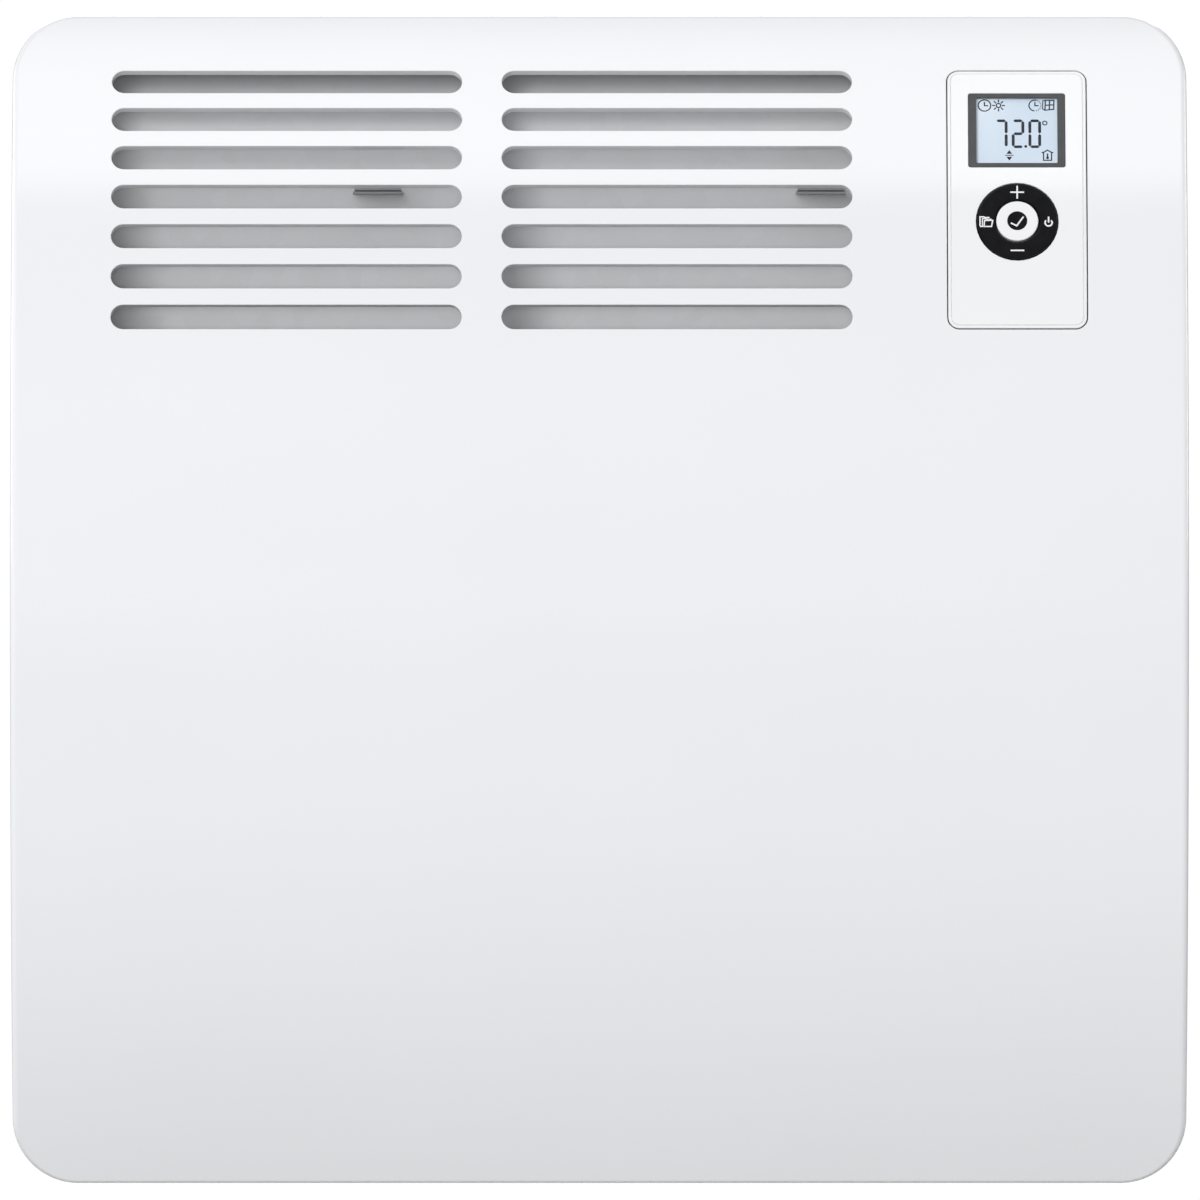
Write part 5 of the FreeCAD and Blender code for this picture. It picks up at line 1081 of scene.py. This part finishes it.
def key_tick():
    """The white tick on the centre key's black dot."""
    tick = Inlay("key_tick", KEYS_ANGLE, DOT_FACE, "ok_key", "key_white", "key_print")
    tick.stroke([(-2.6, -1.0), (-0.25, -2.2), (2.5, 1.7)], MARK_LINE)
    tick.finish()


display_digits()
display_icons()
ring_symbols()
key_tick()

# Stage, light and camera, in metres

FLOOR_RADIUS = 3.5
FLOOR_PLACE = (0, 0.4, -0.36)
FLOOR_SEGMENTS = 96
FLOOR_FADE_SCALE = 0.55
BACKDROP_STRENGTH = 1.02
FILL_COLOUR = (0.97, 0.98, 1.0, 1)
FILL_STRENGTH = 0.23
CAMERA_PLACE = (0.0002, -11.13, -0.00026)
CAMERA_SENSOR = 36
CAMERA_LENS = 828
CAMERA_CLIP_END = 100


def stage_floor():
    """A pale floor below the heater that fades out towards its edge."""
    mesh = bmesh.new()
    bmesh.ops.create_circle(mesh, cap_ends=True, segments=FLOOR_SEGMENTS, radius=FLOOR_RADIUS)
    bmesh.ops.translate(mesh, vec=FLOOR_PLACE, verts=mesh.verts[:])
    data = bpy.data.meshes.new("floor")
    mesh.to_mesh(data)
    mesh.free()
    floor = bpy.data.objects.new("floor", data)
    scene.collection.objects.link(floor)
    shader = Shader("floor_pale", (0.80, 0.80, 0.81), roughness=0.7)
    shader.tint(shader.noise(scale=3, detail=3), spread=0.02)
    fade = shader.texture("ShaderNodeTexGradient", shader.mapped(Scale=(FLOOR_FADE_SCALE,) * 3))
    fade.gradient_type = "SPHERICAL"
    shader.link(shader.ramp(fade.outputs["Fac"], (0, 0, 0), (1, 1, 1), start=0.05, end=0.6), "Alpha")
    data.materials.append(MATERIALS["floor_pale"])
    floor.visible_shadow = False
    floor.visible_diffuse = False


def softbox(name, place, target, size, power, mirrored=True, lit=True):
    """An area light; mirrored shows it in glossy surfaces, lit lets it light matt ones."""
    light = bpy.data.lights.new(name, "AREA")
    light.shape = "RECTANGLE"
    light.size, light.size_y = size
    light.energy = power
    lamp = bpy.data.objects.new(name, light)
    scene.collection.objects.link(lamp)
    lamp.location = place
    aim = Vector(target) - Vector(place)
    lamp.rotation_euler = aim.to_track_quat("-Z", "Y").to_euler()
    lamp.visible_glossy = mirrored
    lamp.visible_diffuse = lit


def lights():
    """A large key light, a small fill by the camera, and soft lights from the top, back and sides."""
    front = (0, -0.1, 0)
    softbox("key_front", (-2.4, -7.9, 1.9), front, size=(4.0, 4.4), power=552, mirrored=False)
    softbox("lens_fill", (0, -10.4, 0.1), front, size=(1.0, 1.0), power=150, mirrored=False)
    softbox("top_strip", (0, -1.45, 2.0), (0, -0.08, 0.2), size=(1.5, 0.8), power=9.5, lit=False)
    softbox("back_soft", (0, 2.8, 2.6), (0, 0, 0), size=(3.0, 2.0), power=102)
    for name, way in (("side_right", 1), ("side_left", -1)):
        softbox(name, (way * 3.2, 0.75, 0.9), (way * 0.2, 0, 0), size=(1.6, 1.6), power=42)


def surroundings():
    """A white backdrop for the camera, and a weaker, cooler fill for everything else."""
    world = bpy.data.worlds.new("studio")
    scene.world = world
    world.use_nodes = True
    tree = world.node_tree
    tree.nodes.clear()

    def background(colour, strength):
        """A plain background shader."""
        node = tree.nodes.new("ShaderNodeBackground")
        node.inputs["Color"].default_value = colour
        node.inputs["Strength"].default_value = strength
        return node.outputs["Background"]

    mix = tree.nodes.new("ShaderNodeMixShader")
    path = tree.nodes.new("ShaderNodeLightPath")
    tree.links.new(path.outputs["Is Camera Ray"], mix.inputs["Fac"])
    tree.links.new(background(FILL_COLOUR, FILL_STRENGTH), mix.inputs[1])
    tree.links.new(background((1, 1, 1, 1), BACKDROP_STRENGTH), mix.inputs[2])
    out = tree.nodes.new("ShaderNodeOutputWorld")
    tree.links.new(mix.outputs["Shader"], out.inputs["Surface"])


def photo_camera():
    """A far camera with a long lens, straight in front, as the photograph was taken."""
    data = bpy.data.cameras.new("photo_camera")
    data.sensor_width = CAMERA_SENSOR
    data.lens = CAMERA_LENS
    data.clip_end = CAMERA_CLIP_END
    camera = bpy.data.objects.new("photo_camera", data)
    scene.collection.objects.link(camera)
    camera.location = CAMERA_PLACE
    camera.rotation_euler = (RIGHT_ANGLE, 0, 0)
    scene.camera = camera


stage_floor()
surroundings()
lights()
photo_camera()
